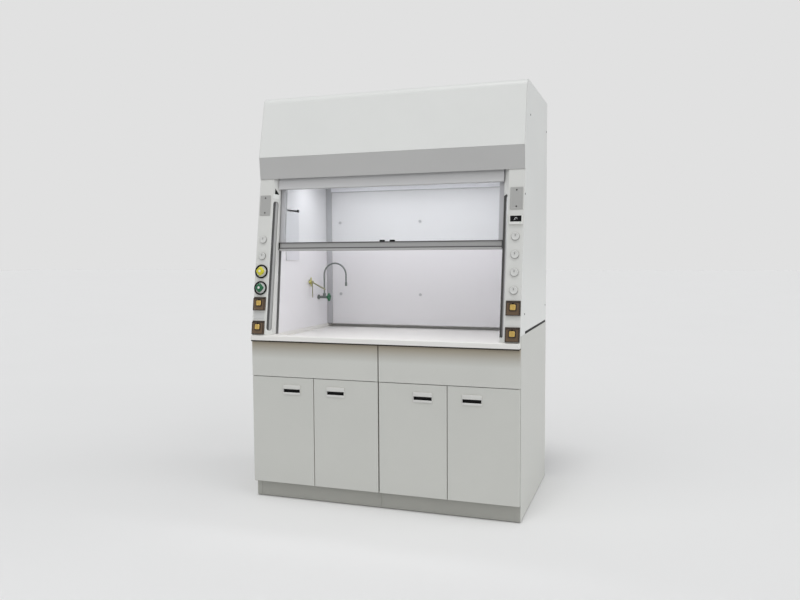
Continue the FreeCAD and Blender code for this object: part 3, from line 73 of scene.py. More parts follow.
class Graph:
    """A material's node tree, with short calls for the nodes that the finishes share."""

    def __init__(self, name):
        self.material = bpy.data.materials.new(name)
        self.material.use_nodes = True
        self.tree = self.material.node_tree
        self.nodes = self.tree.nodes
        self.bsdf = self.nodes["Principled BSDF"]
        self.place = self.nodes.new("ShaderNodeTexCoord").outputs["Object"]

    def link(self, a, b):
        self.tree.links.new(a, b)

    def stretched(self, scale):
        mapping = self.nodes.new("ShaderNodeMapping")
        mapping.inputs["Scale"].default_value = scale
        self.link(self.place, mapping.inputs["Vector"])
        return mapping.outputs["Vector"]

    def noise(self, scale, detail=4.0, stretch=None):
        node = self.nodes.new("ShaderNodeTexNoise")
        node.inputs["Scale"].default_value = scale
        node.inputs["Detail"].default_value = detail
        node.inputs["Roughness"].default_value = 0.55
        source = self.stretched(stretch) if stretch else self.place
        self.link(source, node.inputs["Vector"])
        return node.outputs["Fac"]

    def ramp(self, factor, stops):
        node = self.nodes.new("ShaderNodeValToRGB")
        first, last = node.color_ramp.elements
        first.position, first.color = stops[0][0], (*stops[0][1], 1)
        last.position, last.color = stops[-1][0], (*stops[-1][1], 1)
        for position, colour in stops[1:-1]:
            element = node.color_ramp.elements.new(position)
            element.color = (*colour, 1)
        self.link(factor, node.inputs["Fac"])
        return node.outputs["Color"]

    def span(self, factor, low, high, source=(0.0, 1.0)):
        """Carry a factor from the source range over to low..high."""
        node = self.nodes.new("ShaderNodeMapRange")
        node.inputs["From Min"].default_value = source[0]
        node.inputs["From Max"].default_value = source[1]
        node.inputs["To Min"].default_value = low
        node.inputs["To Max"].default_value = high
        self.link(factor, node.inputs["Value"])
        return node.outputs["Result"]

    def multiply(self, a, b):
        node = self.nodes.new("ShaderNodeMix")
        node.data_type = "RGBA"
        node.blend_type = "MULTIPLY"
        node.inputs["Factor"].default_value = 1
        self.link(a, node.inputs["A"])
        self.link(b, node.inputs["B"])
        return node.outputs["Result"]

    def bump(self, height, strength, distance, normal=None):
        node = self.nodes.new("ShaderNodeBump")
        node.inputs["Strength"].default_value = strength
        node.inputs["Distance"].default_value = distance
        self.link(height, node.inputs["Height"])
        if normal:
            self.link(normal, node.inputs["Normal"])
        return node.outputs["Normal"]

    def soft_edge(self, radius):
        node = self.nodes.new("ShaderNodeBevel")
        node.samples = 4
        node.inputs["Radius"].default_value = radius
        return node.outputs["Normal"]

    def corners(self, reach):
        """1 on open surfaces, less where a neighbour stands within reach."""
        node = self.nodes.new("ShaderNodeAmbientOcclusion")
        node.samples = 4
        node.inputs["Distance"].default_value = reach
        return node.outputs["AO"]

    def height(self):
        node = self.nodes.new("ShaderNodeSeparateXYZ")
        self.link(self.place, node.inputs["Vector"])
        return node.outputs["Z"]

    def set(self, **values):
        for name, value in values.items():
            self.bsdf.inputs[name.replace("_", " ")].default_value = value


def shade(colour, factor):
    return tuple(min(1.0, c * factor) for c in colour)


def finish(name, colour, rough, metal=0.0, vary=0.03, cloud=2.5, grain=900.0, depth=0.00005,
           edge=0.0008, grime=0.12, reach=0.012, stretch=None, stain=None, **extra):
    """A surface with slow colour variation, painted shade in its corners, fine grain and softened edges.

    vary and cloud are the share and the scale of the slow variation; grain and depth those of the
    fine one, in metres for depth. The corner share darkens what lies within reach of a corner, as painted
    shade. The band heights bound the painted shadow under the worktop, where the paint darkens and browns.
    """
    g = Graph(name)
    slow = g.noise(cloud, 3.0)
    tint = g.ramp(slow, [(0.0, shade(colour, 1 - 2 * vary)), (1.0, shade(colour, 1 + 2 * vary))])
    # painted shade: the colour darkens, a little warm, where ambient occlusion finds a neighbour within reach,
    # standing in for the shade in corners and recesses
    shadow = (1 - grime, 1 - 1.15 * grime, 1 - 1.5 * grime)
    painted_shade = g.ramp(g.corners(reach), [(TIGHT_CORNER, shadow), (OPEN_SURFACE, (1, 1, 1))])
    base = g.multiply(tint, painted_shade)
    # painted shadow: the paint darkens and warms towards the top of the given band of heights, as under the
    # worktop's overhang
    if stain:
        base = g.multiply(base, g.ramp(g.span(g.height(), 0.0, 1.0, stain), WORKTOP_SHADOW))
    g.link(base, g.bsdf.inputs["Base Color"])
    fine = g.noise(grain, 2.0, stretch=stretch)
    g.link(g.span(slow, max(SMOOTHEST, rough - SHEEN_CHANGE), rough + SHEEN_CHANGE), g.bsdf.inputs["Roughness"])
    g.link(g.bump(fine, 0.6, depth, g.soft_edge(edge)), g.bsdf.inputs["Normal"])
    g.set(Metallic=metal, **extra)
    return g.material


def glass_finish(name):
    """Clear pane with faint smears, which lets light through to what is behind it."""
    g = Graph(name)
    g.set(Base_Color=(0.95, 0.98, 0.97, 1), Transmission_Weight=1.0, IOR=1.45, Alpha=1.0)
    smear = g.noise(6.0, 5.0, stretch=(1, 1, 0.35))
    g.link(g.span(smear, 0.0, 0.05, (0.3, 0.7)), g.bsdf.inputs["Roughness"])
    clear = g.nodes.new("ShaderNodeBsdfTransparent")
    clear.inputs["Color"].default_value = (0.93, 0.955, 0.95, 1)
    mix = g.nodes.new("ShaderNodeMixShader")
    path = g.nodes.new("ShaderNodeLightPath")
    g.link(path.outputs["Is Shadow Ray"], mix.inputs["Fac"])
    g.link(g.bsdf.outputs["BSDF"], mix.inputs[1])
    g.link(clear.outputs["BSDF"], mix.inputs[2])
    g.link(mix.outputs["Shader"], g.nodes["Material Output"].inputs["Surface"])
    return g.material


def lens_finish(name):
    """Opal diffuser: fine prismatic ribs, lit from behind."""
    g = Graph(name)
    ribs = g.nodes.new("ShaderNodeTexWave")
    ribs.inputs["Scale"].default_value = 60.0
    g.link(g.place, ribs.inputs["Vector"])
    g.link(g.bump(ribs.outputs["Fac"], 0.4, 0.0006), g.bsdf.inputs["Normal"])
    opal = g.ramp(g.noise(3.0), [(0.0, (0.88, 0.88, 0.92)), (1.0, (0.95, 0.95, 0.98))])
    g.link(opal, g.bsdf.inputs["Base Color"])
    g.set(Roughness=0.45, Emission_Color=(0.97, 0.965, 1.0, 1), Emission_Strength=6.0)
    return g.material


LOOKS = {
    "white_paint": dict(colour=(0.73, 0.74, 0.725), rough=0.38, vary=0.018),
    # a darker copy of the white paint, as painted shade cast by the overhanging band on the posts
    "post_shaded_paint": dict(colour=(0.655, 0.66, 0.64), rough=0.38, vary=0.018),
    "grey_paint": dict(colour=(0.48, 0.48, 0.475), rough=0.40, vary=0.02),
    "cabinet_paint": dict(colour=(0.56, 0.565, 0.535), rough=0.40, vary=0.02),
    # the fascia carries a band of painted shadow below the worktop's overhang
    "fascia_paint": dict(colour=(0.575, 0.58, 0.55), rough=0.40, vary=0.02, stain=(0.792, 0.884)),
    # a darker copy of the cabinet paint, as painted shade in the recessed toe-kick and carcass
    "carcass_shaded_paint": dict(colour=(0.38, 0.38, 0.35), rough=0.42, vary=0.02),
    "pull_plastic": dict(colour=(0.62, 0.62, 0.60), rough=0.32, grain=1500, depth=0.00002),
    "worktop_white": dict(colour=(0.78, 0.77, 0.745), rough=0.42, vary=0.01, cloud=5, grain=400,
                          depth=0.00003),
    "dark_board": dict(colour=(0.014, 0.009, 0.005), rough=0.6, vary=0.25, cloud=40, stretch=(1, 8, 30)),
    "liner_board": dict(colour=(0.80, 0.79, 0.81), rough=0.42, vary=0.01, grain=600),
    # pale lavender, lightened as painted light from the lamp above the chamber
    "trim_lamplit_paint": dict(colour=(0.92, 0.91, 0.96), rough=0.38, vary=0.01, grain=600),
    # a grey copy of the paint, as painted shade on the header recessed under the band
    "header_shaded_paint": dict(colour=(0.54, 0.54, 0.545), rough=0.42, vary=0.02),
    "escutcheon_white": dict(colour=(0.90, 0.90, 0.89), rough=0.3, vary=0.01, grime=0.0, depth=0.00001),
    # the white plug caps, greyed like the posts as painted shade
    "plug_shaded_plastic": dict(colour=(0.63, 0.635, 0.62), rough=0.34, grain=1500, depth=0.00002),
    "trim_aluminium": dict(colour=(0.36, 0.36, 0.36), rough=0.38, metal=0.35, vary=0.04, grain=500,
                           stretch=(0.02, 1, 1), edge=0.0005),
    "blank_plate": dict(colour=(0.42, 0.42, 0.41), rough=0.42, metal=0.35, grain=800, stretch=(1, 1, 0.03)),
    "access_board": dict(colour=(0.69, 0.685, 0.715), rough=0.42, vary=0.01, grain=600),
    "bright_aluminium": dict(colour=(0.52, 0.52, 0.54), rough=0.36, metal=0.3, vary=0.03, grain=500,
                             stretch=(1, 1, 0.02), edge=0.0005),
    "bar_aluminium": dict(colour=(0.43, 0.43, 0.43), rough=0.38, metal=0.35, vary=0.04, grain=500,
                          stretch=(0.02, 1, 1), edge=0.0005),
    "nozzle_coating": dict(colour=(0.30, 0.29, 0.18), rough=0.30, metal=0.1),
    "pale_yellow": dict(colour=(0.58, 0.55, 0.16), rough=0.30, vary=0.05),
    # dark grey for the tab in each plug cap and the ring under it, as painted shade of the cap's dimple and
    # outline
    "plug_shadow_grey": dict(colour=(0.30, 0.30, 0.29), rough=0.40, grime=0.0, depth=0.00002),
    "dark_screw": dict(colour=(0.10, 0.10, 0.10), rough=0.35, metal=0.8, vary=0.1, grain=3000, depth=0.00002),
    # near-black rubber for the bar's gasket, also used as painted shadow in the posts' slots and the bar's groove
    "gasket_grey": dict(colour=(0.07, 0.07, 0.07), rough=0.6, vary=0.1, grain=2000, depth=0.00003),
    "boss_gold": dict(colour=(0.66, 0.45, 0.13), rough=0.24, metal=0.5, vary=0.08, grain=2500,
                      depth=0.00001, edge=0.0004),
    "symbol_white": dict(colour=(0.85, 0.86, 0.86), rough=0.4, grime=0.0, depth=0.00001),
    "label_grey": dict(colour=(0.56, 0.565, 0.56), rough=0.45, grain=1800, depth=0.00002),
    "lamp_green": dict(colour=(0.05, 0.42, 0.10), rough=0.2, grime=0.0, depth=0.00001),
    "black_plastic": dict(colour=(0.006, 0.006, 0.006), rough=0.55, vary=0.2, grime=0.0,
                          Specular_IOR_Level=0.18),
    "white_plastic": dict(colour=(0.74, 0.74, 0.725), rough=0.34, grain=1500, depth=0.00002),
    "display": dict(colour=(0.003, 0.003, 0.004), rough=0.15, vary=0.1, grime=0.0, depth=0.000005,
                    Specular_IOR_Level=0.15),
    "socket_brown": dict(colour=(0.035, 0.021, 0.012), rough=0.35, vary=0.1),
    "cover_brown": dict(colour=(0.13, 0.085, 0.05), rough=0.25, vary=0.1),
    "yellow_enamel": dict(colour=(0.60, 0.56, 0.03), rough=0.25, vary=0.06),
    "green_enamel": dict(colour=(0.008, 0.12, 0.045), rough=0.25, vary=0.08),
    "tap_coating": dict(colour=(0.17, 0.19, 0.18), rough=0.30, metal=0.2),
    "zinc_steel": dict(colour=(0.50, 0.50, 0.51), rough=0.36, metal=0.9, cloud=30, vary=0.06),
    "pulley_nylon": dict(colour=(0.62, 0.62, 0.58), rough=0.4),
    "weight_iron": dict(colour=(0.03, 0.03, 0.03), rough=0.7, metal=0.4, cloud=20, vary=0.3, grain=250,
                        depth=0.0004),
}
FINISHES = {name: finish(name, **look) for name, look in LOOKS.items()}
FINISHES["sash_glass"] = glass_finish("sash_glass")
FINISHES["lens"] = lens_finish("lens")

# nodes whose paint reads differently from the rest of their slot: the posts, the carcass and the header take
# darker copies as painted shade, and the fascia a band of painted shadow
OVERRIDES = {
    "post_left": "post_shaded_paint",
    "post_right": "post_shaded_paint",
    "base_cabinet_left": "carcass_shaded_paint",
    "base_cabinet_right": "carcass_shaded_paint",
    "upper_front_panels": "fascia_paint",
    "header_panel": "header_shaded_paint",
    "sash_frame": "bright_aluminium",
    "sash_handle": "bar_aluminium",
    "baffle_trim": "bright_aluminium",
    "side_screws": "dark_screw",
    "gas_handle": "pale_yellow",
}
for row in frame["record"]["subparts"]:
    node_materials = NODES[row["node"]].data.materials
    node_materials.clear()
    node_materials.append(FINISHES[OVERRIDES.get(row["node"], row["material_slot"])])

# --------------------------------------------------------------- mesh helpers
# Shapes are given in millimetres about their own middle or foot, and places in metres.

MM = 0.001
SHARP_ANGLE = math.radians(35)
QUARTER_TURN = math.radians(90)
CORNER_STEPS = 6
SIDES = ((-1, "left"), (1, "right"))


def joined(*shapes):
    """One shape from several."""
    whole = shapes[0]
    for other in shapes[1:]:
        spare = bpy.data.meshes.new("spare")
        other.to_mesh(spare)
        other.free()
        whole.from_mesh(spare)
        bpy.data.meshes.remove(spare)
    return whole


def piece(name, shape, slot, body="housing", at=None, replaces=()):
    """Turn a shape into an object that rides on a body."""
    if at is not None:
        shape.transform(at)
    bmesh.ops.recalc_face_normals(shape, faces=shape.faces)
    mesh = bpy.data.meshes.new(name)
    shape.to_mesh(mesh)
    shape.free()
    obj = bpy.data.objects.new(name, mesh)
    bpy.context.scene.collection.objects.link(obj)
    mesh.shade_smooth()
    mesh.set_sharp_from_angle(angle=SHARP_ANGLE)
    mesh.materials.append(FINISHES[slot])
    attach(obj, body)
    if replaces:
        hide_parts(*replaces)
    return obj


def moved(shape, x=0.0, y=0.0, z=0.0):
    shape.transform(Matrix.Translation((x * MM, y * MM, z * MM)))
    return shape


def bridge(shape, a, b):
    """Faces between two loops of as many points."""
    for i in range(len(a)):
        j = (i + 1) % len(a)
        shape.faces.new((a[i], a[j], b[j], b[i]))


def placed_block(low, high, radius=0.0, segments=3):
    """Box between two corners in metres, with edges rounded by millimetres."""
    shape = bmesh.new()
    bmesh.ops.create_cube(shape, size=1.0)
    low, high = Vector(low), Vector(high)
    size = high - low
    shape.transform(Matrix.Translation((low + high) / 2) @ Matrix.Diagonal((*size, 1)))
    if radius:
        bmesh.ops.bevel(shape, geom=list(shape.edges), offset=min(radius * MM, min(size) * 0.49),
                        segments=segments, profile=0.5, affect="EDGES")
    return shape


def block(low, high, radius=0.0, segments=3):
    """Box between two corners, with rounded edges."""
    return placed_block([v * MM for v in low], [v * MM for v in high], radius, segments)


def slab(width, height, low, high, corner, edge, inset=0.0, raised=0.0):
    """Plate in the XY plane with rounded corners; its top may have a raised or sunk inner field."""
    outline = []
    for sx, sy, start in ((1, 1, 0), (-1, 1, 90), (-1, -1, 180), (1, -1, 270)):
        for step in range(CORNER_STEPS + 1):
            angle = math.radians(start + 90 * step / CORNER_STEPS)
            outline.append((sx * (width / 2 - corner) + corner * math.cos(angle),
                            sy * (height / 2 - corner) + corner * math.sin(angle)))
    rings = [(0.0, low), (0.0, high - edge), (edge, high)]
    if inset:
        rings += [(inset, high), (inset + abs(raised), high + raised)]
    shape = bmesh.new()
    loops = []
    for shrink, z in rings:
        sx, sy = 1 - 2 * shrink / width, 1 - 2 * shrink / height
        loops.append([shape.verts.new((x * sx * MM, y * sy * MM, z * MM)) for x, y in outline])
    for a, b in zip(loops[:-1], loops[1:]):
        bridge(shape, a, b)
    shape.faces.new(loops[-1])
    shape.faces.new(list(reversed(loops[0])))
    return shape


def lathe(profile, steps=48, lobes=0, depth=0.0):
    """Turn (radius, height) points about Z; lobes wave the radius by the share given."""
    shape = bmesh.new()
    loops = []
    for radius, height in profile:
        if not radius:
            loops.append([shape.verts.new((0, 0, height * MM))])
            continue
        loop = []
        for step in range(steps):
            angle = 2 * math.pi * step / steps
            r = radius * MM * (1 + depth * math.cos(lobes * angle))
            loop.append(shape.verts.new((r * math.cos(angle), r * math.sin(angle), height * MM)))
        loops.append(loop)
    for a, b in zip(loops[:-1], loops[1:]):
        if len(a) == len(b):
            bridge(shape, a, b)
        elif len(a) == 1:
            for i in range(steps):
                shape.faces.new((a[0], b[i], b[(i + 1) % steps]))
        else:
            for i in range(steps):
                shape.faces.new((a[i], a[(i + 1) % steps], b[0]))
    for loop, way in ((loops[0], -1), (loops[-1], 1)):
        if len(loop) > 1:
            shape.faces.new(loop[::way])
    return shape


def tube(points, radius, sides=10):
    """Round bar along a line of points."""
    shape = bmesh.new()
    points = [Vector(p) * MM for p in points]
    loops = []
    side = None
    for i, point in enumerate(points):
        ahead = points[min(i + 1, len(points) - 1)] - points[max(i - 1, 0)]
        ahead.normalize()
        if side is None:
            side = ahead.orthogonal().normalized()
        side = (side - ahead * side.dot(ahead)).normalized()
        across = ahead.cross(side)
        loops.append([shape.verts.new(point + radius * MM * (side * math.cos(a) + across * math.sin(a)))
                      for a in (2 * math.pi * k / sides for k in range(sides))])
    for a, b in zip(loops[:-1], loops[1:]):
        bridge(shape, a, b)
    shape.faces.new(list(reversed(loops[0])))
    shape.faces.new(loops[-1])
    return shape


def prism(points, low, high):
    """Flat shape in the XY plane, raised from low to high."""
    shape = bmesh.new()
    bottom = [shape.verts.new((x * MM, y * MM, low * MM)) for x, y in points]
    top = [shape.verts.new((x * MM, y * MM, high * MM)) for x, y in points]
    shape.faces.new(bottom)
    shape.faces.new(top)
    bridge(shape, bottom, top)
    return shape


# ------------------------------------------------------------- leaning places

POST_LEAN = math.radians(8.64)
SASH_LEAN = math.radians(6.5)
POST_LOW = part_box("post_right")[0]


def leaning(lean, origin):
    """Frame on a leaning plane: X across, Y up the plane, Z out of it."""
    s, c = math.sin(lean), math.cos(lean)
    turn = Matrix(((1, 0, 0), (0, s, -c), (0, c, s))).to_4x4()
    return Matrix.Translation(origin) @ turn


def on_post(x, z):
    """Frame on the face of a post."""
    y = POST_LOW.y + (z - POST_LOW.z) * math.tan(POST_LEAN)
    return leaning(POST_LEAN, (x, y, z))


# ------------------------------------------------------ fittings on the posts
# Heights above the floor, in metres.

FITTING_X = 0.710               # middle of the posts' faces
PLATE_Z = 1.640
MONITOR_Z = 1.530
RIGHT_PLUGS_Z = (1.448, 1.357, 1.268, 1.179)
LEFT_PLUGS_Z = (1.448, 1.356)
OUTLETS_Z = (1.091, 0.960)
LABEL_Z = 1.026
GAS_VALVE_Z = 1.270
WATER_VALVE_Z = 1.178

PLUG_CAP = [(14, 0), (14, 3.6), (19.2, 4.0), (20, 5.0), (20, 6.4), (19.2, 7.8), (17.4, 8.8), (15.6, 9.0),
            (14.6, 8.4), (13.6, 8.0), (8, 8.2), (0, 8.4)]
# dark ring just wider than each cap, as painted shadow of the cap's outline
PLUG_SHADOW_RING = [(13, 0), (21.2, 0), (21.2, 3.4), (13, 3.5)]
caps, tabs, shadow_rings = [], [], []
for x, z in [(FITTING_X, z) for z in RIGHT_PLUGS_Z] + [(-FITTING_X, z) for z in LEFT_PLUGS_Z]:
    for kind, shape in ((caps, lathe(PLUG_CAP, 40)),
                        (tabs, block((-2.4, 0, 8.0), (2.4, 10.5, 9.6), 1.0)),
                        (shadow_rings, lathe(PLUG_SHADOW_RING, 40))):
        shape.transform(on_post(x, z))
        kind.append(shape)
piece("plug_caps", joined(*caps), "plug_shaded_plastic", replaces=["hole_plugs"])
piece("plug_tabs", joined(*tabs), "plug_shadow_grey")
piece("plug_shadow_rings", joined(*shadow_rings), "plug_shadow_grey")

# blank plates, each held by two cross-head screws
SCREW_HEAD = [(4.2, 0), (4.2, 0.99), (3.36, 1.87), (0, 2.2)]
SCREW_CROSS = (((-2.604, -0.5, 1.98), (2.604, 0.5, 2.376)), ((-0.5, -2.604, 1.98), (0.5, 2.604, 2.376)))
SCREW_LIFT = 2.2
for side, label in SIDES:
    place = on_post(side * FITTING_X, PLATE_Z)
    plate = slab(65, 114, 0, 3, 3, 1, 7, -0.8)
    piece("blank_plate_" + label, plate, "blank_plate", at=place, replaces=["blank_plates"])
    heads = [moved(lathe(SCREW_HEAD, 24), 0, up, SCREW_LIFT) for up in (-42, 42)]
    slots = [moved(joined(*(block(*bar) for bar in SCREW_CROSS)), 0, up, SCREW_LIFT) for up in (-42, 42)]
    piece("plate_screws_" + label, joined(*heads), "dark_screw", at=place)
    piece("plate_screw_slots_" + label, joined(*slots), "black_plastic", at=place)

# airflow monitor
MONITOR = on_post(FITTING_X, MONITOR_Z)
bezel = joined(slab(68, 48, 0, 7, 3, 1.2), moved(block((-33, -3, 0), (33, 3, 11), 1.6), 0, -19.5, 0))
piece("monitor_bezel", bezel, "white_plastic", at=MONITOR, replaces=["monitor_housing"])
window = moved(slab(57, 30, 6.4, 8.2, 1.5, 0.5), 0, 6, 0)
piece("monitor_window", window, "display", at=MONITOR, replaces=["monitor_display"])
ARC = [math.radians(a) for a in range(-30, 241, 15)]
ring = tube([(5.6 * math.cos(a), 5.6 * math.sin(a), 0) for a in ARC], 0.9)
stroke = tube([(-9.5, -6.5, 0), (-3.4, -1.0, 0)], 0.9)
piece("monitor_symbol", moved(joined(ring, stroke), 1, 6, 8.0), "symbol_white", at=MONITOR)
lamp = moved(lathe([(1.6, 0), (1.6, 0.5), (0, 0.9)], 16), 22, -14, 7.0)
piece("monitor_lamp", lamp, "lamp_green", at=MONITOR)

# splash covers of the outlets
COVER_LOW, COVER_HIGH = -37.0, 29.4
COVER_RIM = (
    ((-35.3, COVER_LOW - 0.3, 9.5), (-30.5, COVER_HIGH, 12.5)),
    ((30.5, COVER_LOW - 0.3, 9.5), (35.3, COVER_HIGH, 12.5)),
    ((-35, COVER_HIGH - 4.5, 9.5), (35, COVER_HIGH + 0.2, 12.5)),
    ((-35, COVER_LOW - 0.3, 9.5), (35, COVER_LOW + 4.0, 12.5)),
)
COVER_LATCH = [(4.4, 0), (4.4, 1.4), (3.4, 2.2), (0, 2.4)]
OUTLETS = [(side * FITTING_X, z) for side, _ in SIDES for z in OUTLETS_Z]
for number, (x, z) in enumerate(OUTLETS, start=1):
    body = "cover_%d" % number
    place = on_post(x, z)
    shell = moved(slab(70, COVER_HIGH - COVER_LOW, 2.6, 11.9, 3, 1.2, 6, -1.2), 0, (COVER_LOW + COVER_HIGH) / 2, 0)
    piece("cover_shell_%d" % number, shell, "cover_brown", body, place, ["outlet_cover_%d" % number])
    rim = joined(*(block(low, high, 0.9) for low, high in COVER_RIM))
    piece("cover_rim_%d" % number, rim, "socket_brown", body, place)
    knuckle = lathe([(3.6, -26.6), (3.6, 26.6)], 24)
    knuckle.transform(Matrix.Rotation(QUARTER_TURN, 4, "Y"))
    strap = block((-26, 27, 8.2), (26, 34.5, 10), 0.7)
    piece("cover_hinge_%d" % number, joined(moved(knuckle, 0, 33.4, 6.5), strap), "socket_brown", body, place)
    # dark square around each gold boss, as painted shadow of the raised boss
    boss_shadow = moved(slab(40, 40, 10.0, 11.6, 7, 0.6), 0, 3, 0)
    piece("cover_well_%d" % number, boss_shadow, "socket_brown", body, place)
    boss = moved(slab(28, 28, 11, 19, 5, 2.4, 5, -0.8), 0, 3.4, 0)
    piece("cover_boss_%d" % number, boss, "boss_gold", body, place)
    latch = moved(lathe(COVER_LATCH, 20), 0, 21.5, 10.8)
    piece("cover_latch_%d" % number, latch, "black_plastic", body, place)

# blank label between the left outlets
piece("label_plate", slab(62, 38, 0, 1.0, 1.5, 0.4), "label_grey", at=on_post(-FITTING_X, LABEL_Z))

# service valve knobs: domed, with four lobes
KNOB = [(6, -30), (6, 7), (10, 8), (18, 9), (22, 11.5), (23.5, 15), (22.5, 19), (18.5, 22.5), (13, 24.6), (9, 25),
        (7.6, 24.2), (0, 23.8)]
KNOB_CAP = [(7, 0), (7, 0.8), (5.5, 1.8), (0, 2.2)]
ESCUTCHEON = [(31, 0), (31, 1.0), (14, 1.6), (8, 3.2), (6.1, 3.4)]
for z, colour, body, node in ((GAS_VALVE_Z, "yellow_enamel", "gas_valve", "valve_handle_yellow"),
                              (WATER_VALVE_Z, "green_enamel", "water_valve", "valve_handle_green")):
    place = on_post(-FITTING_X, z)
    piece("knob_" + body, lathe(KNOB, 64, 4, 0.10), colour, body, place, [node])
    piece("knob_index_" + body, moved(lathe(KNOB_CAP, 32), z=23.9), "white_plastic", body, place)
    piece("escutcheon_" + body, lathe(ESCUTCHEON), "escutcheon_white", at=place)

# ------------------------------------------------------------- recessed pulls

PULL_Z = 0.621
PULL_LIP = ((-51, -27, -3), (51, -14.5, 3.6))
PULL_CHEEKS = (((-52.6, -26, -3), (-49.4, 26, 3.4)), ((49.4, -26, -3), (52.6, 26, 3.4)))
PULL_WALLS = (((-50, 8, -14), (50, 10, -1)), ((-50, -17, -14), (50, -15, -1)))
for number in range(1, 5):
    low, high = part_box("door_pull_%d" % number)
    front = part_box("door_%d" % number)[0].y
    place = Matrix.Translation(((low.x + high.x) / 2, front, PULL_Z)) @ Matrix.Rotation(QUARTER_TURN, 4, "X")
    body = "door_%d" % number
    hood = block((-51, 4, -3), (51, 27, 6.5), 3, 4)
    piece("pull_hood_%d" % number, hood, "pull_plastic", body, place, ["door_pull_%d" % number])
    lip = joined(block(*PULL_LIP, 1.6), *(block(*cheek, 0.8) for cheek in PULL_CHEEKS))
    piece("pull_lip_%d" % number, lip, "pull_plastic", body, place)
    # black lining in each pull's finger slot, as painted shade of the slot that opens downwards
    slot_lining_shade = moved(slab(100, 22, -14, -9, 1, 0.4), 0, -4)
    slot_lining_shade = joined(slot_lining_shade, *(block(*wall, 0.4) for wall in PULL_WALLS))
    piece("pull_slot_shade_%d" % number, slot_lining_shade, "black_plastic", body, place)

# ------------------------------------------------------------------- the sash

BAR_LOW, BAR_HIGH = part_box("sash_handle")
BAR_EDGE = (8 * MM, 2.8 * MM)   # from the lip's front edge back to the bar's face, and up to its foot
SASH_FACE = leaning(SASH_LEAN, (0, BAR_LOW.y + BAR_EDGE[0] * math.cos(SASH_LEAN), BAR_LOW.z + BAR_EDGE[1]))
BAR_END = BAR_HIGH.x / MM
# two dark strips along the bar: the upper is the gasket under the glass together with painted shade of the gap
# beside it, the lower is painted shade in a groove of the bar
bar_dark_lines = joined(block((-BAR_END, 40.5, 2), (BAR_END, 44.5, 8.5), 0.4),
                 block((-BAR_END, 10.0, 2), (BAR_END, 15.4, 8.5), 0.4))
piece("bar_gasket_and_groove_shade", bar_dark_lines, "gasket_grey", "sash", SASH_FACE)
ends = [block((side * BAR_END - 5, 2, -4), (side * BAR_END + 1.5, 45, 8.6), 1.2) for side, _ in SIDES]
piece("bar_end_caps", joined(*ends), "black_plastic", "sash", SASH_FACE)
clips = [block((x - 14, 43, -6), (x + 14, 54, 9), 2.2) for x in (-20, 37)]
piece("sash_latches", joined(*clips), "black_plastic", "sash", SASH_FACE, ["sash_clips"])

# ----------------------------------------------------- fittings on the bevels

BEVEL_OUT = Vector((0.7311, 0, 0.6823))             # across the post and out of its face
FACE_EDGE_X = 0.668
SLOT_FOOT_Z = 0.945


def on_bevel(side):
    """Frame on a post's bevel, at its front edge and the slot's foot: X along the bevel, Y up, Z out of it."""
    out = Vector((-side * BEVEL_OUT.x, 0, BEVEL_OUT.z))
    turn = Matrix((Vector((0, 1, 0)).cross(out), (0, 1, 0), out)).transposed().to_4x4()
    return on_post(side * FACE_EDGE_X, SLOT_FOOT_Z) @ turn


def bevel_bar(side, along, up, out, radius=1.0):
    """Bar on a bevel, from and to: along it from its front edge, up the post, and out of it."""
    x0, x1 = sorted(-side * v for v in along)
    return block((x0, up[0], out[0]), (x1, up[1], out[1]), radius)


LEFT_BEVEL = on_bevel(-1)
piece("slot_ledge", bevel_bar(-1, (2, 40), (743, 768), (-1, 3), 1.2), "white_paint", at=LEFT_BEVEL)
piece("slot_notch", prism([(13, 769), (38, 769), (14, 801)], -0.5, 1.2), "black_plastic", at=LEFT_BEVEL)
# dark strip in the deep half of the left slot, as painted shadow of the pocket
piece("slot_shadow_left", bevel_bar(-1, (7.4, 22.6), (3, 725), (-17.6, -5), 1.5), "gasket_grey", at=LEFT_BEVEL)

RIGHT_BEVEL = on_bevel(1)
fill = bevel_bar(1, (7.4, 22.6), (3, 725), (-17.6, -4.2), 1.5)
piece("slot_fill_right", fill, "bright_aluminium", at=RIGHT_BEVEL)
# near-black lines with hooked ends along the right slot, as painted shadow of its deep side
slot_shadow_lines = [bevel_bar(1, along, up, (-1.5, 1.2))
          for along, up in (((32.5, 40.6), (4, 722)), ((22, 40.6), (716, 724)), ((22, 40.6), (2, 10)))]
piece("slot_shadow_right", joined(*slot_shadow_lines), "gasket_grey", at=RIGHT_BEVEL)

# black strip behind the open slot of each side panel, as painted shadow of the cavity behind the slot
STRIP_X = (0.7415, 0.7478)
STRIP_Y = (-0.300, 0.4545)
STRIP_Z = (0.9500, 0.9660)
for side, label in SIDES:
    x0, x1 = sorted(side * x for x in STRIP_X)
    strip = placed_block((x0, STRIP_Y[0], STRIP_Z[0]), (x1, STRIP_Y[1], STRIP_Z[1]), 1)
    piece("side_slot_shadow_" + label, strip, "black_plastic")

# ------------------------------------------------------------ inside the chamber

TAP_AT = (-0.5805, 0.2025, 1.096)
TAP_KNOB = [(4, 0), (4, 5), (9, 6), (19, 7), (22.5, 10), (23, 15), (21, 19), (15, 21.5), (8, 22.4), (0, 22.2)]
piece("knob_tap", lathe(TAP_KNOB, 64, 4, 0.13), "green_enamel", "tap_valve",
      Matrix.Translation(TAP_AT) @ Matrix.Rotation(QUARTER_TURN, 4, "Y"), ["tap_handle"])
TRIM_TOP = ((-0.604, 0.3362, 1.762), (0.604, 0.3376, 1.7995))
TRIM_RIGHT = ((0.6050, 0.3362, 0.9185), (0.6395, 0.3376, 1.7995))
ACCESS_LATCH = ((-0.6402, -0.078, 1.612), (-0.6350, -0.060, 1.628))
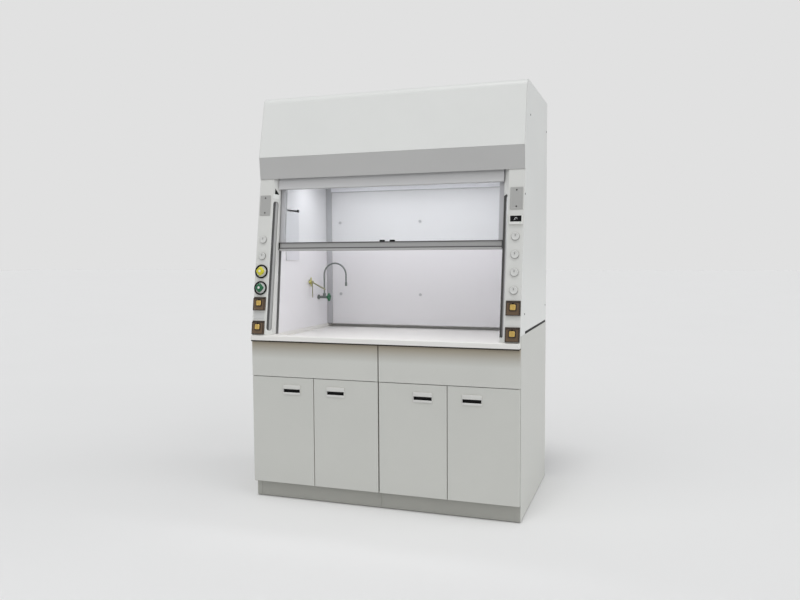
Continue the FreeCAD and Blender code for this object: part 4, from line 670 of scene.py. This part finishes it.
# caps on the baffle's trims, in paint lightened as painted lamp light
piece("trim_cap_top", placed_block(*TRIM_TOP, 0.5), "trim_lamplit_paint")
piece("trim_cap_right", placed_block(*TRIM_RIGHT, 0.5), "trim_lamplit_paint")
piece("access_latch", placed_block(*ACCESS_LATCH, 1.2), "black_plastic")

# ------------------------------------------------------------- back and roof

BACK_SCREW = [(5, -0.5), (5, 1.0), (3.6, 2.2), (0, 2.6)]
BACK_X = (-0.728, -0.364, 0.0, 0.364, 0.728)
BACK_Z = (0.99, 1.40, 1.82, 2.235)
screws = []
for x in BACK_X:
    for z in BACK_Z:
        if x in (BACK_X[0], BACK_X[-1]) or z in (BACK_Z[0], BACK_Z[-1]):
            head = lathe(BACK_SCREW, 20)
            head.transform(Matrix.Translation((x, CAD_BOX[1].y, z)) @ Matrix.Rotation(-QUARTER_TURN, 4, "X"))
            screws.append(head)
piece("back_screws", joined(*screws), "zinc_steel")

COLLAR_LOW, COLLAR_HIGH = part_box("exhaust_collar")
COLLAR_MIDDLE = (COLLAR_LOW + COLLAR_HIGH) / 2
RIVET = [(4, 0), (4, 1.2), (0, 2.4)]
RIVET_COUNT = 8
RIVET_CIRCLE = 0.139
rivets = []
for step in range(RIVET_COUNT):
    angle = 2 * math.pi * step / RIVET_COUNT
    rivet = lathe(RIVET, 16)
    rivet.transform(Matrix.Translation((COLLAR_MIDDLE.x + RIVET_CIRCLE * math.cos(angle),
                                        COLLAR_MIDDLE.y + RIVET_CIRCLE * math.sin(angle), COLLAR_LOW.z + 2 * MM)))
    rivets.append(rivet)
piece("collar_rivets", joined(*rivets), "zinc_steel")

# -------------------------------------------------------------- light and camera

FLOOR_COLOUR = (0.80, 0.80, 0.80)
FLOOR_REACH = 60
BACKDROP = (0.753, 0.753, 0.753, 1)
ROOM_LIGHT = (0.45, 0.455, 0.46, 1)

floor_mesh = bpy.data.meshes.new("floor")
floor_mesh.from_pydata([(x * FLOOR_REACH, y * FLOOR_REACH, 0) for x, y in ((-1, -1), (1, -1), (1, 1), (-1, 1))],
                       [], [(0, 1, 2, 3)])
floor = bpy.data.objects.new("floor", floor_mesh)
bpy.context.scene.collection.objects.link(floor)
g = Graph("floor")
g.link(g.ramp(g.noise(0.6), [(0.3, shade(FLOOR_COLOUR, 0.99)), (0.7, FLOOR_COLOUR)]), g.bsdf.inputs["Base Color"])
g.set(Roughness=0.9, Specular_IOR_Level=0.0)
floor_mesh.materials.append(g.material)


def sun_light(name, towards, strength, spread, colour=(1, 1, 1)):
    """A wide, even light, as from a large softbox far away."""
    light = bpy.data.lights.new(name, "SUN")
    light.energy = strength
    light.angle = math.radians(spread)
    light.color = colour
    obj = bpy.data.objects.new(name, light)
    obj.rotation_euler = Vector(towards).to_track_quat("-Z", "Y").to_euler()
    bpy.context.scene.collection.objects.link(obj)


sun_light("key", (0.35, 0.75, -0.9), 0.50, 60, (1.0, 0.995, 0.985))
sun_light("ceiling", (0.02, 0.28, -1.0), 0.75, 14)
sun_light("fill", (-1.0, 0.2, -0.4), 1.2, 80)

# the room lights the object a little cooler and darker than the backdrop looks
world = bpy.data.worlds.new("studio")
world.use_nodes = True
sky = world.node_tree
backdrop = sky.nodes.new("ShaderNodeBackground")
backdrop.inputs["Color"].default_value = BACKDROP
seen = sky.nodes.new("ShaderNodeLightPath")
choose = sky.nodes.new("ShaderNodeMixShader")
sky.nodes["Background"].inputs["Color"].default_value = ROOM_LIGHT
sky.links.new(seen.outputs["Is Camera Ray"], choose.inputs["Fac"])
sky.links.new(sky.nodes["Background"].outputs["Background"], choose.inputs[1])
sky.links.new(backdrop.outputs["Background"], choose.inputs[2])
sky.links.new(choose.outputs["Shader"], sky.nodes["World Output"].inputs["Surface"])
bpy.context.scene.world = world
bpy.context.scene.view_settings.view_transform = "Standard"

CAMERA_AT = Vector((1.38183, -4.13362, 1.35905))
LOOK = Vector((-0.32369, 0.94394, -0.06485))
ROLL = math.radians(-0.32)
camera = bpy.data.cameras.new("camera")
camera.lens = 33.9
camera.sensor_width = 36.0
camera.shift_x = 0.0019
camera.shift_y = 0.0047
camera_object = bpy.data.objects.new("camera", camera)
camera_object.matrix_world = (Matrix.Translation(CAMERA_AT) @ LOOK.to_track_quat("-Z", "Y").to_matrix().to_4x4()
                              @ Matrix.Rotation(ROLL, 4, "Z"))
bpy.context.scene.collection.objects.link(camera_object)
bpy.context.scene.camera = camera_object
